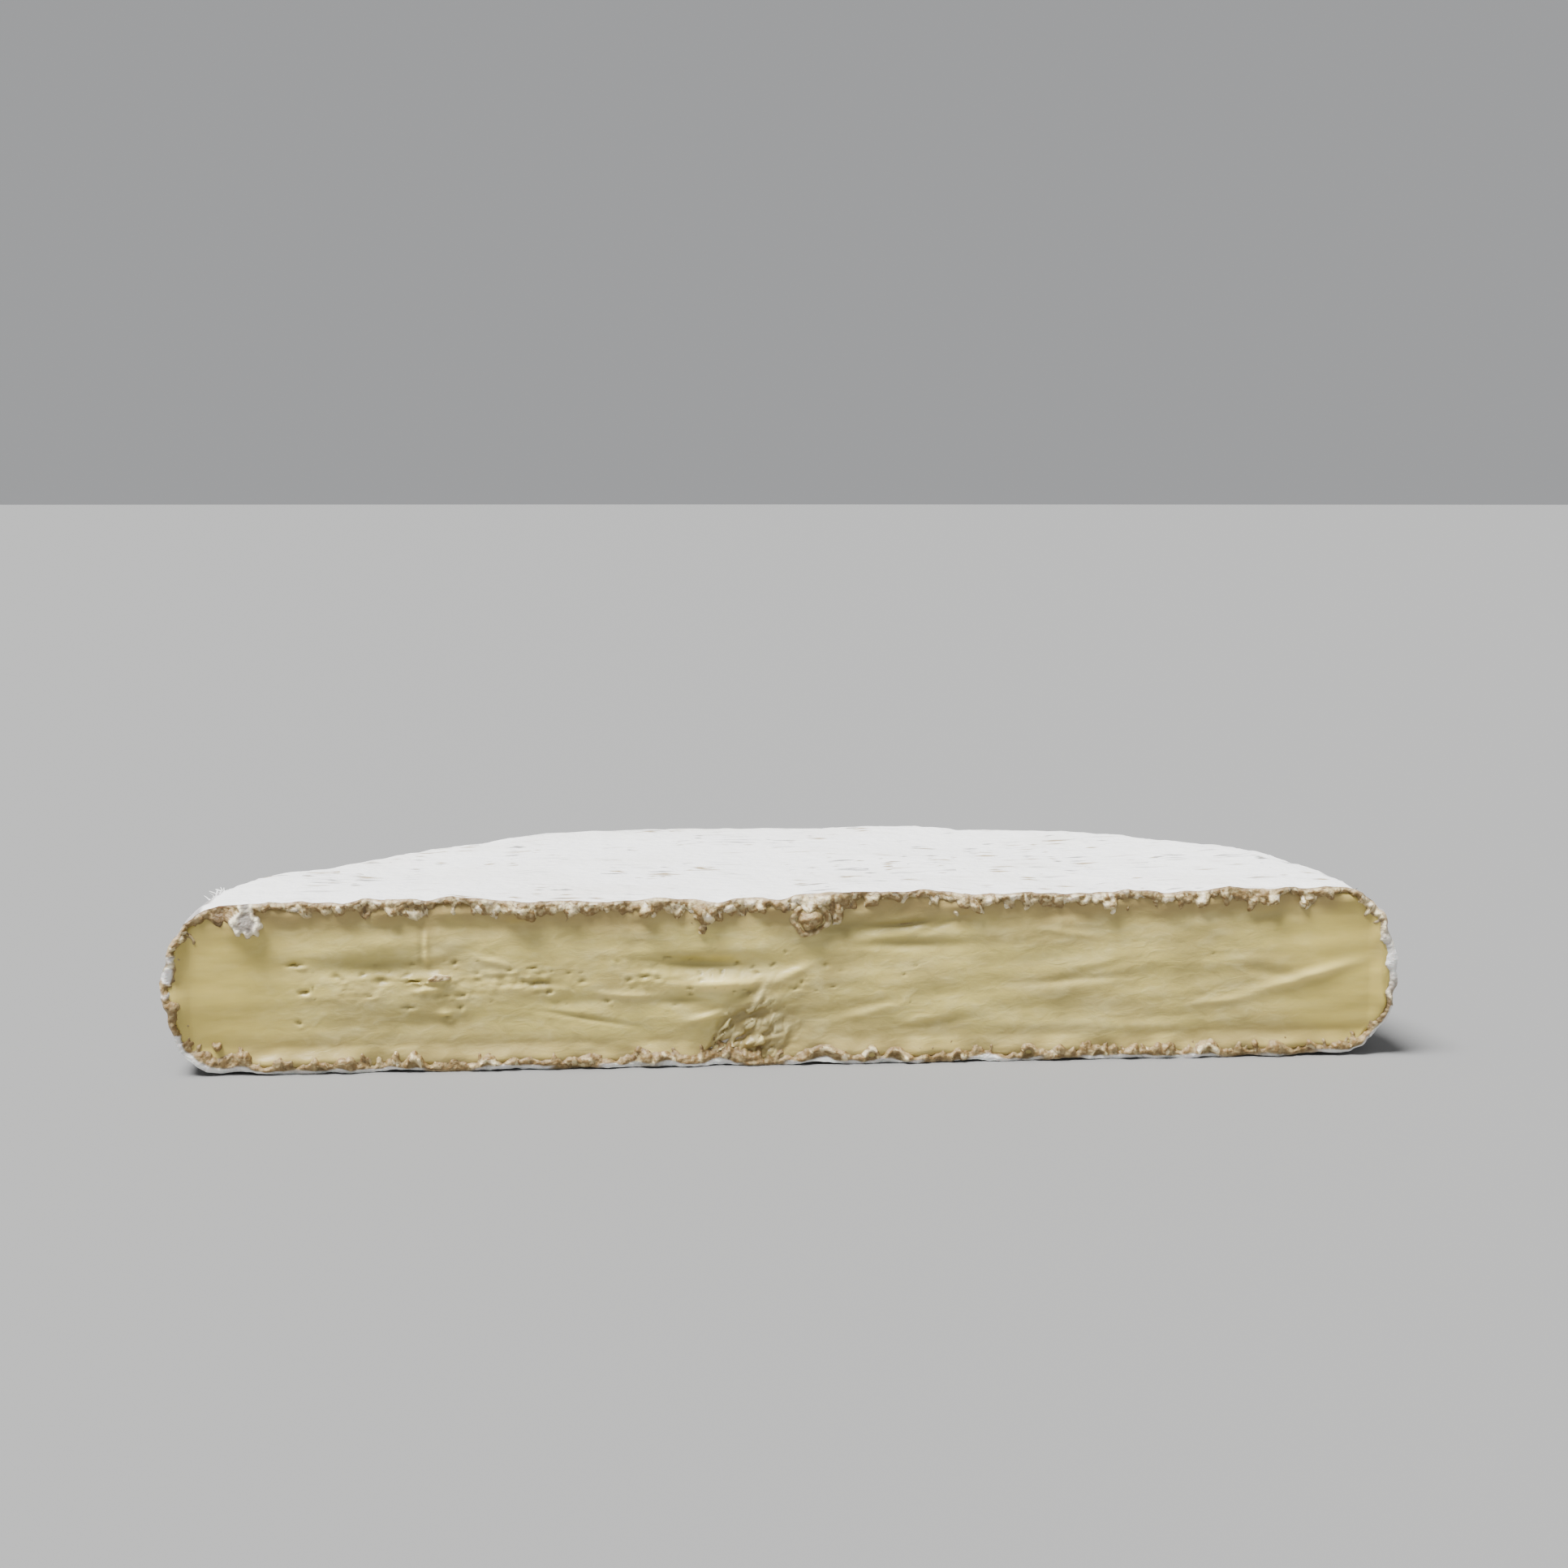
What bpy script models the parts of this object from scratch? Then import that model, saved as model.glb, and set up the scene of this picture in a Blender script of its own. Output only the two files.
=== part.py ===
"""Half wheel of soft white-rind cheese, cut straight across and lying on its flat base.

A wheel is turned from its section, settled into the uneven form of a soft cheese, and cut
by a knife whose face leaves the relief of the paste and the torn rind. Metres, +Z up.
X runs along the cut, the cut face looks towards -Y, and the origin is the middle of the base.
"""

import math

import bmesh
import bpy
from mathutils import Vector, noise

# The wheel's section
WHEEL_RADIUS = 0.1205
THICKNESS = 0.0334
BELLY_HEIGHT = 0.0150
SHOULDER_WIDTH = 0.0145
SHOULDER_POWER = 2.45
RIM_POINTS = 12
TOP_RINGS = 11
BASE_RINGS = 3
TURN_STEPS = 160

# How the wheel has settled: waves of the top, the outline and the rim
TOP_WAVE = 0.0008
TOP_WAVE_LENGTH = 0.045
OUTLINE_WAVE = 0.0022
OUTLINE_WAVE_LENGTH = 0.110
RIM_WRINKLE = 0.0017
RIM_WRINKLE_LENGTH = 0.013
RIGHT_RISE = 0.0024
RIGHT_RISE_AT = 30.0
RIGHT_RISE_SPREAD = 26.0
LEFT_DROOP = 0.0022
LEFT_DROOP_AT = 143.0
LEFT_DROOP_SPREAD = 16.0

# The knife cut, which passes a little in front of the wheel's centre
CUT_AHEAD = 0.0025
KNIFE_WIDTH = 0.262
KNIFE_HEIGHT = 0.048
KNIFE_BELOW = 0.006
KNIFE_COLUMNS = 118
KNIFE_ROWS = 23
KNIFE_DEPTH = 0.150

# Relief of the cut face, proud towards the viewer
PASTE_BULGE = 0.0008
PASTE_SMEAR = 0.0004
RIND_LIP = 0.0007
RIND_CRUMB = 0.0013
RIND_CRUMB_LENGTH = 0.0055
RIND_WIDTH = 0.0026

# Torn edge of the rind, up and down along the cut
EDGE_TEAR = 0.0008
EDGE_TEAR_LENGTH = 0.0100
EDGE_TEAR_DEPTH = 0.0040
BASE_LIFT = 0.0008
BASE_LIFT_DEPTH = 0.0090

# Single marks of the cut face: place along the cut, height, half sizes, and how proud it is
RIND_FLAP = (-0.1045, 0.0283, 0.0036, 0.0028, 0.0018)
BROWN_HOLLOW = (-0.1085, 0.0322, 0.0032, 0.0012, -0.0010)
CRUMB_CLUSTER = (-0.0524, 0.0315, 0.0034, 0.0022, 0.0013)
HANGING_CRUMB = (-0.0173, 0.0303, 0.0018, 0.0028, 0.0012)
RIND_NODULE = (0.0038, 0.0280, 0.0038, 0.0034, 0.0021)
PASTE_FLAP = (-0.0680, 0.0182, 0.0020, 0.0012, 0.0008)
UPPER_HOLLOW = (-0.0150, 0.0201, 0.0110, 0.0018, -0.0008)
LOWER_HOLLOW = (-0.0430, 0.0132, 0.0070, 0.0014, -0.0006)
TORN_PASTE = (-0.0125, 0.0060, 0.0050, 0.0065, -0.0012)
SMEAR_RIDGE = (-0.0085, 0.0128, 0.0075, 0.0022, 0.0010)
FACE_MARKS = (
    RIND_FLAP,
    BROWN_HOLLOW,
    CRUMB_CLUSTER,
    HANGING_CRUMB,
    RIND_NODULE,
    PASTE_FLAP,
    UPPER_HOLLOW,
    LOWER_HOLLOW,
    TORN_PASTE,
    SMEAR_RIDGE,
)

# Finishes, as linear colour
RIND_COLOUR = (0.84, 0.83, 0.80, 1.0)
RIND_ROUGHNESS = 0.9
PASTE_COLOUR = (0.62, 0.53, 0.31, 1.0)
PASTE_ROUGHNESS = 0.45

MERGE_DISTANCE = 0.00002
NODE_NAME = "half_wheel"


def bell(value, middle, spread):
    """A smooth hump of height 1 at the middle, falling to about a third at the spread."""
    return math.exp(-(((value - middle) / spread) ** 2))


def wave(x, y, z, length, seed=0.0):
    """Smooth noise between about -1 and 1 whose features are one length apart."""
    return noise.noise(Vector((x / length + seed, y / length, z / length)))


def rim_point(angle):
    """Distance out and height of the rim's section, from 90 degrees at the top to -90."""
    out = abs(math.cos(angle)) ** (2.0 / SHOULDER_POWER)
    up = abs(math.sin(angle)) ** (2.0 / SHOULDER_POWER)
    reach = THICKNESS - BELLY_HEIGHT if angle > 0.0 else BELLY_HEIGHT
    height = BELLY_HEIGHT + math.copysign(reach * up, angle)
    return WHEEL_RADIUS - SHOULDER_WIDTH * (1.0 - out), height


def section_points():
    """The wheel's section from the middle of the top, round the rim, to the middle of the base."""
    inner = WHEEL_RADIUS - SHOULDER_WIDTH
    top = [(inner * ring / TOP_RINGS, THICKNESS) for ring in range(TOP_RINGS)]
    angles = [math.pi * (0.5 - step / RIM_POINTS) for step in range(RIM_POINTS + 1)]
    rim = [rim_point(angle) for angle in angles]
    base = [(inner * (1.0 - ring / BASE_RINGS), 0.0) for ring in range(1, BASE_RINGS + 1)]
    return top + rim + base


def settled(point):
    """Where a point of the turned wheel lies once the soft cheese has settled."""
    x, y, z = point
    reach = math.hypot(x, y)
    turn = math.degrees(math.atan2(y, x))
    height_share = z / THICKNESS
    reach_share = reach / WHEEL_RADIUS
    edge_rise = RIGHT_RISE * bell(turn, RIGHT_RISE_AT, RIGHT_RISE_SPREAD)
    edge_rise -= LEFT_DROOP * bell(turn, LEFT_DROOP_AT, LEFT_DROOP_SPREAD)
    top_rise = edge_rise * reach_share ** 2 + TOP_WAVE * wave(x, y, 0.0, TOP_WAVE_LENGTH)
    rim_share = max(0.0, 1.0 - (WHEEL_RADIUS - reach) / SHOULDER_WIDTH)
    side_share = rim_share * math.sin(math.pi * min(1.0, height_share)) ** 0.5
    outline = OUTLINE_WAVE * wave(x, y, 0.0, OUTLINE_WAVE_LENGTH, 4.0)
    wrinkle = wave(x, y, z, RIM_WRINKLE_LENGTH, 9.0) + 0.5 * wave(x, y, z, RIM_WRINKLE_LENGTH / 2.0, 15.0)
    outward = outline * reach_share ** 3 + RIM_WRINKLE * side_share * wrinkle
    stretch = 1.0 + outward / reach if reach > 0.0 else 1.0
    return Vector((x * stretch, y * stretch, z + top_rise * height_share))


def face_relief(x, z):
    """How proud of the cut plane the cut face stands at this place along it and height."""
    inside = min(z, THICKNESS - z, WHEEL_RADIUS - abs(x))
    rind_share = max(0.0, min(1.0, 1.0 - (inside - RIND_WIDTH) / RIND_WIDTH))
    bulge = PASTE_BULGE * math.sin(math.pi * max(0.0, min(1.0, z / THICKNESS)))
    smear = PASTE_SMEAR * wave(x / 3.0, 0.0, z, 0.006, 2.0)
    crumb = RIND_CRUMB * wave(x, 0.0, z, RIND_CRUMB_LENGTH, 7.0)
    relief = bulge + smear + rind_share * (RIND_LIP + crumb)
    for middle, height, half_width, half_height, proud in FACE_MARKS:
        relief += proud * bell(x, middle, half_width) * bell(z, height, half_height)
    return relief


def torn(point):
    """Where a point near the cut lies once the knife has dragged the rind up and down."""
    behind_cut = max(0.0, point.y + CUT_AHEAD)
    from_top = abs(THICKNESS - point.z)
    top_share = bell(from_top, 0.0, EDGE_TEAR_DEPTH) * bell(behind_cut, 0.0, EDGE_TEAR_DEPTH)
    tear = wave(point.x, 0.0, 0.0, EDGE_TEAR_LENGTH, 3.0) + 0.6 * wave(point.x, 0.0, 0.0, EDGE_TEAR_LENGTH / 2.5, 5.0)
    base_share = bell(point.z, 0.0, EDGE_TEAR_DEPTH) * bell(behind_cut, 0.0, BASE_LIFT_DEPTH)
    lift = max(0.0, wave(point.x, 0.0, 0.0, EDGE_TEAR_LENGTH, 11.0) + 0.25)
    rise = top_share * EDGE_TEAR * tear + base_share * BASE_LIFT * lift
    return Vector((point.x, point.y, point.z + rise))


def new_material(name, colour, roughness):
    """A plain Principled material of one colour and roughness."""
    material = bpy.data.materials.new(name)
    material.use_nodes = True
    shader = material.node_tree.nodes["Principled BSDF"]
    shader.inputs["Base Color"].default_value = colour
    shader.inputs["Roughness"].default_value = roughness
    shader.inputs["Metallic"].default_value = 0.0
    material.diffuse_color = colour
    return material


def turned_wheel(collection, material):
    """The whole wheel: its section turned all the way round, then settled."""
    points = section_points()
    section = bpy.data.meshes.new("wheel_section")
    vertices = [(out, 0.0, height) for out, height in points]
    edges = [(index, index + 1) for index in range(len(points) - 1)]
    section.from_pydata(vertices, edges, [])
    guide = bpy.data.objects.new("wheel_section", section)
    collection.objects.link(guide)
    screw = guide.modifiers.new("turn", "SCREW")
    screw.axis = "Z"
    screw.angle = 2.0 * math.pi
    screw.steps = TURN_STEPS
    screw.render_steps = TURN_STEPS
    screw.use_merge_vertices = True
    screw.merge_threshold = MERGE_DISTANCE
    mesh = mesh_as_evaluated(guide)
    bpy.data.objects.remove(guide)
    for vertex in mesh.vertices:
        vertex.co = settled(vertex.co)
    mesh.materials.clear()
    mesh.materials.append(material)
    wheel = bpy.data.objects.new(NODE_NAME, mesh)
    wheel.data.name = NODE_NAME
    collection.objects.link(wheel)
    return wheel


def mesh_as_evaluated(item):
    """A new mesh of the object with its modifiers applied."""
    graph = bpy.context.evaluated_depsgraph_get()
    graph.update()
    return bpy.data.meshes.new_from_object(item.evaluated_get(graph))


def knife(collection, material):
    """The block that the knife removes; its back face holds the relief of the cut."""
    mesh = bpy.data.meshes.new("knife")
    sheet = bmesh.new()
    bmesh.ops.create_grid(sheet, x_segments=KNIFE_COLUMNS, y_segments=KNIFE_ROWS, size=0.5)
    for vertex in sheet.verts:
        x = vertex.co.x * KNIFE_WIDTH
        z = (vertex.co.y + 0.5) * KNIFE_HEIGHT - KNIFE_BELOW
        vertex.co = Vector((x, -CUT_AHEAD - face_relief(x, z), z))
    grown = bmesh.ops.extrude_face_region(sheet, geom=list(sheet.faces))
    for element in grown["geom"]:
        if isinstance(element, bmesh.types.BMVert):
            element.co.y = -KNIFE_DEPTH
    bmesh.ops.recalc_face_normals(sheet, faces=list(sheet.faces))
    sheet.to_mesh(mesh)
    sheet.free()
    mesh.materials.append(material)
    cutter = bpy.data.objects.new("knife", mesh)
    cutter.hide_render = True
    cutter.display_type = "WIRE"
    collection.objects.link(cutter)
    return cutter


def cut_in_half(wheel, cutter):
    """Cut the wheel with the knife, and tear the rind along the cut."""
    cut = wheel.modifiers.new("knife_cut", "BOOLEAN")
    cut.operation = "DIFFERENCE"
    cut.solver = "EXACT"
    cut.object = cutter
    cut.material_mode = "TRANSFER"
    mesh = mesh_as_evaluated(wheel)
    wheel.modifiers.clear()
    wheel.data = mesh
    mesh.name = NODE_NAME
    for vertex in mesh.vertices:
        vertex.co = torn(vertex.co)


def set_on_base(piece):
    """Move the mesh so that the middle of the base of its box is the origin."""
    places = [vertex.co.copy() for vertex in piece.data.vertices]
    middle_x = (min(place.x for place in places) + max(place.x for place in places)) / 2.0
    middle_y = (min(place.y for place in places) + max(place.y for place in places)) / 2.0
    lowest = min(place.z for place in places)
    for vertex in piece.data.vertices:
        vertex.co -= Vector((middle_x, middle_y, lowest))


def weld(piece):
    """Join points that lie closer together than the merge distance, and split to triangles."""
    shape = bmesh.new()
    shape.from_mesh(piece.data)
    bmesh.ops.remove_doubles(shape, verts=list(shape.verts), dist=MERGE_DISTANCE)
    bmesh.ops.dissolve_degenerate(shape, edges=list(shape.edges), dist=MERGE_DISTANCE)
    bmesh.ops.triangulate(shape, faces=list(shape.faces))
    shape.to_mesh(piece.data)
    shape.free()


def build():
    """Build the half wheel."""
    for item in list(bpy.data.objects):
        bpy.data.objects.remove(item)
    cheese = bpy.data.collections.new("half_cheese_wheel")
    cutters = bpy.data.collections.new("cutters")
    bpy.context.scene.collection.children.link(cheese)
    bpy.context.scene.collection.children.link(cutters)
    rind = new_material("rind", RIND_COLOUR, RIND_ROUGHNESS)
    paste = new_material("paste", PASTE_COLOUR, PASTE_ROUGHNESS)
    wheel = turned_wheel(cheese, rind)
    cutter = knife(cutters, paste)
    cut_in_half(wheel, cutter)
    weld(wheel)
    set_on_base(wheel)
    wheel.data.shade_smooth()
    wheel.data.set_sharp_from_angle(angle=math.radians(50.0))


build()
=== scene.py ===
"""Looks of half a soft white-rind cheese wheel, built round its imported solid.

The cheese lies on its flat base with the knife cut towards -Y. The rind is one closed skin,
its torn edge goes round the cut, and the paste is set into it. Slivers of mould along the
shoulder, a nodule of rind and a flake of paste are pieces of their own. Lengths are in metres
and turns in degrees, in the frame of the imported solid.
"""

import logging
import math
from dataclasses import dataclass
from enum import Enum

import bmesh
import bpy
import numpy as np
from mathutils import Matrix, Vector, noise


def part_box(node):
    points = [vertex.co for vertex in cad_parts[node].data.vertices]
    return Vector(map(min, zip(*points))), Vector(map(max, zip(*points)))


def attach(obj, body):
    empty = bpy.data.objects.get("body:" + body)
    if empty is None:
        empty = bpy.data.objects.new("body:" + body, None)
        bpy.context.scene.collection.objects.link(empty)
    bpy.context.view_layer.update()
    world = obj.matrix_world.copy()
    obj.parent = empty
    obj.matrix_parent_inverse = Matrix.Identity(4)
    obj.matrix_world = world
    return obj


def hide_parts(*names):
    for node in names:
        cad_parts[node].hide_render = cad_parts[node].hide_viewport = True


Array = np.ndarray
Pair = tuple[float, float]
Trio = tuple[float, float, float]
Row = tuple[float, ...]
Colour = tuple[float, float, float, float]
Socket = bpy.types.NodeSocket
Piece = bpy.types.Object
Material = bpy.types.Material

NODE = "half_wheel"
BODY = "root"
BAKE_MAP = "OFBake"
SHARP_ANGLE = 70.0
TINY = 1e-12

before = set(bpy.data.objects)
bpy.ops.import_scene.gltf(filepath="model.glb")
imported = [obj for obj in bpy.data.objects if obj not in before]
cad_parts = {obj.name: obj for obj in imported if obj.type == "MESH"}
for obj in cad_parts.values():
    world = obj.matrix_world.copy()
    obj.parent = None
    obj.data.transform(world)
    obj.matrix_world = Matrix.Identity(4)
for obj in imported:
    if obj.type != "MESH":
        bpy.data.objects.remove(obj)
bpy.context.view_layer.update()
log = logging.getLogger("half_wheel")


class Chart(Enum):
    """A flat patch of the rind's bake map, and where its lower left corner lies, in metres."""

    RIM = (0.003, 0.003)
    TOP = (0.130, 0.058)
    BASE = (0.130, 0.198)
    HIDDEN = (0.330, 0.060)


def bell(value: Array | float, middle: float, spread: float) -> Array:
    """A smooth hump of height 1 at the middle, falling to about a third at the spread."""
    return np.exp(-(((value - middle) / spread) ** 2))


def hump(x: Array, z: Array, spot: Row) -> Array:
    """A hump of height 1 on the cut face, whose spot is its place in X and Z, then its spreads."""
    return bell(x, spot[0], spot[2]) * bell(z, spot[1], spot[3])


def humps(x: Array, z: Array, spots: tuple[Row, ...]) -> Array:
    """All the humps of a table added up, each a spot with its height after it."""
    return sum(spot[4] * hump(x, z, spot) for spot in spots)


def smooth_step(value: Array, low: float, high: float) -> Array:
    """0 below low, 1 above high, and smooth between."""
    share = np.clip((value - low) / (high - low), 0.0, 1.0)
    return share * share * (3.0 - 2.0 * share)


def window(value: Array, rise: Pair, fall: Pair) -> Array:
    """1 between a rise and a fall, each given by where it starts and ends, and 0 outside."""
    return smooth_step(value, *rise) * (1.0 - smooth_step(value, *fall))


def blend(first: Array, second: Array | float, share: Array) -> Array:
    """The first where the share is 0, the second where it is 1, and between them elsewhere."""
    return first * (1.0 - share) + second * share


def standing(x: Array, z: Array, y: Array | float = 0.0) -> Array:
    """Places with the given X and Z, on one plane or each at its own Y."""
    return np.stack((x, np.zeros_like(x) + y, z), axis=1)


def turned(x: Array, z: Array, slope: float) -> tuple[Array, Array]:
    """How far along a slope of some degrees, and how far across it, X and Z reach."""
    tilt = math.radians(slope)
    return x * math.cos(tilt) + z * math.sin(tilt), z * math.cos(tilt) - x * math.sin(tilt)


def noise_at(points: Array, length: float | Trio, seed: float = 0.0) -> Array:
    """Smooth noise between about -1 and 1.

    Args:
        points: places in metres, one in each row.
        length: how far apart its features are, the same each way or along X, Y and Z.
        seed: shifts the pattern along X.

    Returns:
        One value for each place.
    """
    places = points / np.broadcast_to(np.asarray(length, float), (3,))
    places = places + np.array((seed, 0.0, 0.0))
    return np.array([noise.noise(place) for place in places.tolist()])


def fractal_at(points: Array, length: float, octaves: int, seed: float = 0.0) -> Array:
    """Noise with finer and finer noise added to it.

    Args:
        points: places in metres, one in each row.
        length: how far apart the coarsest features are.
        octaves: how many noises there are, each half as long and half as high as the last.
        seed: shifts the pattern.

    Returns:
        One value for each place.
    """
    total = np.zeros(len(points))
    for octave in range(octaves):
        share = 0.5 ** octave
        total += share * noise_at(points, length * share, seed + 17.0 * octave)
    return total


def pushes_at(points: Array, length: float, seeds: Trio) -> Array:
    """A smooth push along X, Y and Z at each place, each way with its own seed."""
    return np.stack([noise_at(points, length, seed) for seed in seeds], axis=1)


def cells_at(points: Array, size: float, seed: float) -> tuple[Array, Array, Array]:
    """Cells of a crumbly mass, each with its own middle.

    Args:
        points: places in metres, one in each row.
        size: how far apart the cells' middles are.
        seed: shifts the pattern.

    Returns:
        How far up its cell each place is, from 0 at the cell's edge to 1 in its middle, the
        middle of its cell, and a random number from 0 to 1 that the whole cell shares.
    """
    scaled = points / size + seed
    share = np.zeros(len(points))
    middles = np.zeros_like(points)
    numbers = np.zeros(len(points))
    for number, place in enumerate(scaled.tolist()):
        distances, places = noise.voronoi(place)
        share[number] = 1.0 - (distances[0] / max(distances[1], TINY)) ** 2
        middles[number] = places[0]
        numbers[number] = noise.cell(places[0])
    return share, (middles - seed) * size, numbers


def graded_steps(length: float, first: float, last: float, growth: float) -> Array:
    """Places along a length, close together at its start.

    Args:
        length: where the last place is.
        first: about how long the first step is.
        last: about how long the longest step is.
        growth: how many times longer each step is than the one before it.

    Returns:
        The places, from 0 to the length.
    """
    places = [0.0]
    step = first
    while places[-1] < length:
        places.append(places[-1] + step)
        step = min(last, step * growth)
    return np.array(places) * length / places[-1]


def grid_faces(index: Array, closed: bool = False) -> Array:
    """Quads between neighbouring rows and columns of a grid.

    Args:
        index: the grid's point numbers.
        closed: whether its last column joins its first one.

    Returns:
        The four point numbers of each quad.
    """
    if closed:
        index = np.concatenate((index, index[:, :1]), axis=1)
    corners = (index[:-1, :-1], index[:-1, 1:], index[1:, 1:], index[1:, :-1])
    return np.stack([corner.ravel() for corner in corners], axis=1)


def softened(grid: Array, rounds: int) -> Array:
    """A grid of heights blurred a little by its neighbours.

    Args:
        grid: the heights, whose rows join up with their own start.
        rounds: how many times it is blurred.

    Returns:
        The blurred heights.
    """
    for _ in range(rounds):
        padded = np.concatenate((grid[:1], grid, grid[-1:]))
        beside = np.roll(grid, 1, axis=1) + np.roll(grid, -1, axis=1)
        grid = 0.5 * grid + 0.125 * (padded[:-2] + padded[2:] + beside)
    return grid


def point_normals(points: Array, quads: Array) -> Array:
    """Unit normals, each the mean of the normals of the quads round its point.

    Args:
        points: the points, one in each row.
        quads: the four point numbers of each quad.

    Returns:
        One normal for each point.
    """
    across = points[quads[:, 2]] - points[quads[:, 0]]
    along = points[quads[:, 3]] - points[quads[:, 1]]
    flat = np.cross(across, along)
    total = np.zeros_like(points)
    for corner in range(4):
        np.add.at(total, quads[:, corner], flat)
    return total / np.maximum(np.linalg.norm(total, axis=1, keepdims=True), TINY)


def corners_of(mesh: bpy.types.Mesh) -> tuple[Array, Array]:
    """The corners of a mesh's faces.

    Args:
        mesh: the mesh.

    Returns:
        The point number at each face corner, and how many corners each face has.
    """
    corners = np.zeros(len(mesh.loops), np.int32)
    mesh.loops.foreach_get("vertex_index", corners)
    totals = np.zeros(len(mesh.polygons), np.int32)
    mesh.polygons.foreach_get("loop_total", totals)
    return corners, totals


def set_bake_map(mesh: bpy.types.Mesh, places: Array) -> None:
    """Store the place of each face corner in the bake map."""
    layer = mesh.uv_layers.new(name=BAKE_MAP)
    layer.data.foreach_set("uv", places.ravel().astype(np.float32))


def dress(piece: Piece) -> None:
    """Set a piece on the cheese's body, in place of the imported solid.

    Args:
        piece: the piece.
    """
    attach(piece, BODY)
    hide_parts(NODE)


@dataclass(frozen=True)
class WheelForm:
    """The settled form of the cut wheel, as its solid has it, with the wheel's centre at 0, 0."""

    radius: float = 0.1205
    thickness: float = 0.0334
    belly_height: float = 0.0150
    shoulder_width: float = 0.0145
    shoulder_power: float = 2.45
    top_wave: float = 0.0008
    top_wave_length: float = 0.045
    outline_wave: float = 0.0022
    outline_wave_length: float = 0.110
    rim_wrinkle: float = 0.0017
    rim_wrinkle_length: float = 0.013
    right_rise: float = 0.0024
    right_rise_at: float = 30.0
    right_rise_spread: float = 26.0
    left_droop: float = 0.0022
    left_droop_at: float = 143.0
    left_droop_spread: float = 16.0
    cut_ahead: float = 0.0025
    paste_bulge: float = 0.0008
    paste_smear: float = 0.0004
    rind_lip: float = 0.0007
    rind_crumb: float = 0.0013
    rind_crumb_length: float = 0.0055
    rind_width: float = 0.0026
    middle_height: float = 0.0162
    middle_inset: float = 0.0170
    edge_tear: float = 0.0008
    edge_tear_length: float = 0.0100
    edge_tear_depth: float = 0.0040
    base_lift: float = 0.0008
    base_lift_depth: float = 0.0090
    face_marks: tuple[Row, ...] = (
        (-0.1045, 0.0283, 0.0036, 0.0028, 0.0018),
        (-0.1085, 0.0322, 0.0032, 0.0012, -0.0010),
        (-0.0524, 0.0315, 0.0034, 0.0022, 0.0013),
        (-0.0173, 0.0303, 0.0018, 0.0028, 0.0012),
        (0.0038, 0.0280, 0.0038, 0.0034, 0.0021),
        (-0.0680, 0.0182, 0.0020, 0.0012, 0.0008),
        (-0.0150, 0.0201, 0.0110, 0.0018, -0.0008),
        (-0.0430, 0.0132, 0.0070, 0.0014, -0.0006),
        (-0.0125, 0.0060, 0.0050, 0.0065, -0.0012),
        (-0.0085, 0.0128, 0.0075, 0.0022, 0.0010),
    )

    def rim_section(self, angle: Array) -> tuple[Array, Array]:
        """The section of the rim.

        Args:
            angle: from pi / 2 at its top edge to -pi / 2 at its bottom edge.

        Returns:
            How far out it is, and how high.
        """
        out = np.abs(np.cos(angle)) ** (2.0 / self.shoulder_power)
        up = np.abs(np.sin(angle)) ** (2.0 / self.shoulder_power)
        reach = np.where(angle > 0.0, self.thickness - self.belly_height, self.belly_height)
        height = self.belly_height + np.copysign(reach * up, angle)
        return self.radius - self.shoulder_width * (1.0 - out), height

    def rim_share(self, points: Array) -> Array:
        """How far out on the rounded rim a point is: 0 on the flats, 1 at the widest place."""
        reach = np.hypot(points[:, 0], points[:, 1])
        return np.clip(1.0 - (self.radius - reach) / self.shoulder_width, 0.0, 1.0)

    def settle(self, points: Array) -> Array:
        """Where points of the turned wheel lie once the soft cheese has settled.

        Args:
            points: points of the turned wheel, one in each row.

        Returns:
            The settled points.
        """
        x, y, z = points.T
        reach = np.maximum(np.hypot(x, y), TINY)
        turn = np.degrees(np.arctan2(y, x))
        height_share = z / self.thickness
        reach_share = reach / self.radius
        plan = points * np.array((1.0, 1.0, 0.0))
        edge_rise = self.right_rise * bell(turn, self.right_rise_at, self.right_rise_spread)
        edge_rise -= self.left_droop * bell(turn, self.left_droop_at, self.left_droop_spread)
        top_rise = edge_rise * reach_share ** 2 + self.top_wave * noise_at(plan, self.top_wave_length)
        side = np.sin(np.pi * np.clip(height_share, 0.0, 1.0))
        side_share = self.rim_share(points) * np.sqrt(np.maximum(side, 0.0))
        outline = self.outline_wave * noise_at(plan, self.outline_wave_length, 4.0)
        wrinkle = noise_at(points, self.rim_wrinkle_length, 9.0)
        wrinkle += 0.5 * noise_at(points, self.rim_wrinkle_length / 2.0, 15.0)
        outward = outline * reach_share ** 3 + self.rim_wrinkle * side_share * wrinkle
        stretch = 1.0 + outward / reach
        return np.stack((x * stretch, y * stretch, z + top_rise * height_share), axis=1)

    def cut_relief(self, x: Array, z: Array) -> Array:
        """How proud of the cut plane the cut face stands, rind and paste together.

        Args:
            x: places along the cut.
            z: their heights.

        Returns:
            The relief at each place.
        """
        places = standing(x, z)
        inside = np.minimum(np.minimum(z, self.thickness - z), self.radius - np.abs(x))
        rind_share = np.clip(1.0 - (inside - self.rind_width) / self.rind_width, 0.0, 1.0)
        bulge = self.paste_bulge * np.sin(np.pi * np.clip(z / self.thickness, 0.0, 1.0))
        smear = self.paste_smear * noise_at(places, (0.018, 0.006, 0.006), 2.0)
        crumb = self.rind_crumb * noise_at(places, self.rind_crumb_length, 7.0)
        return bulge + smear + rind_share * (self.rind_lip + crumb) + humps(x, z, self.face_marks)

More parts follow.
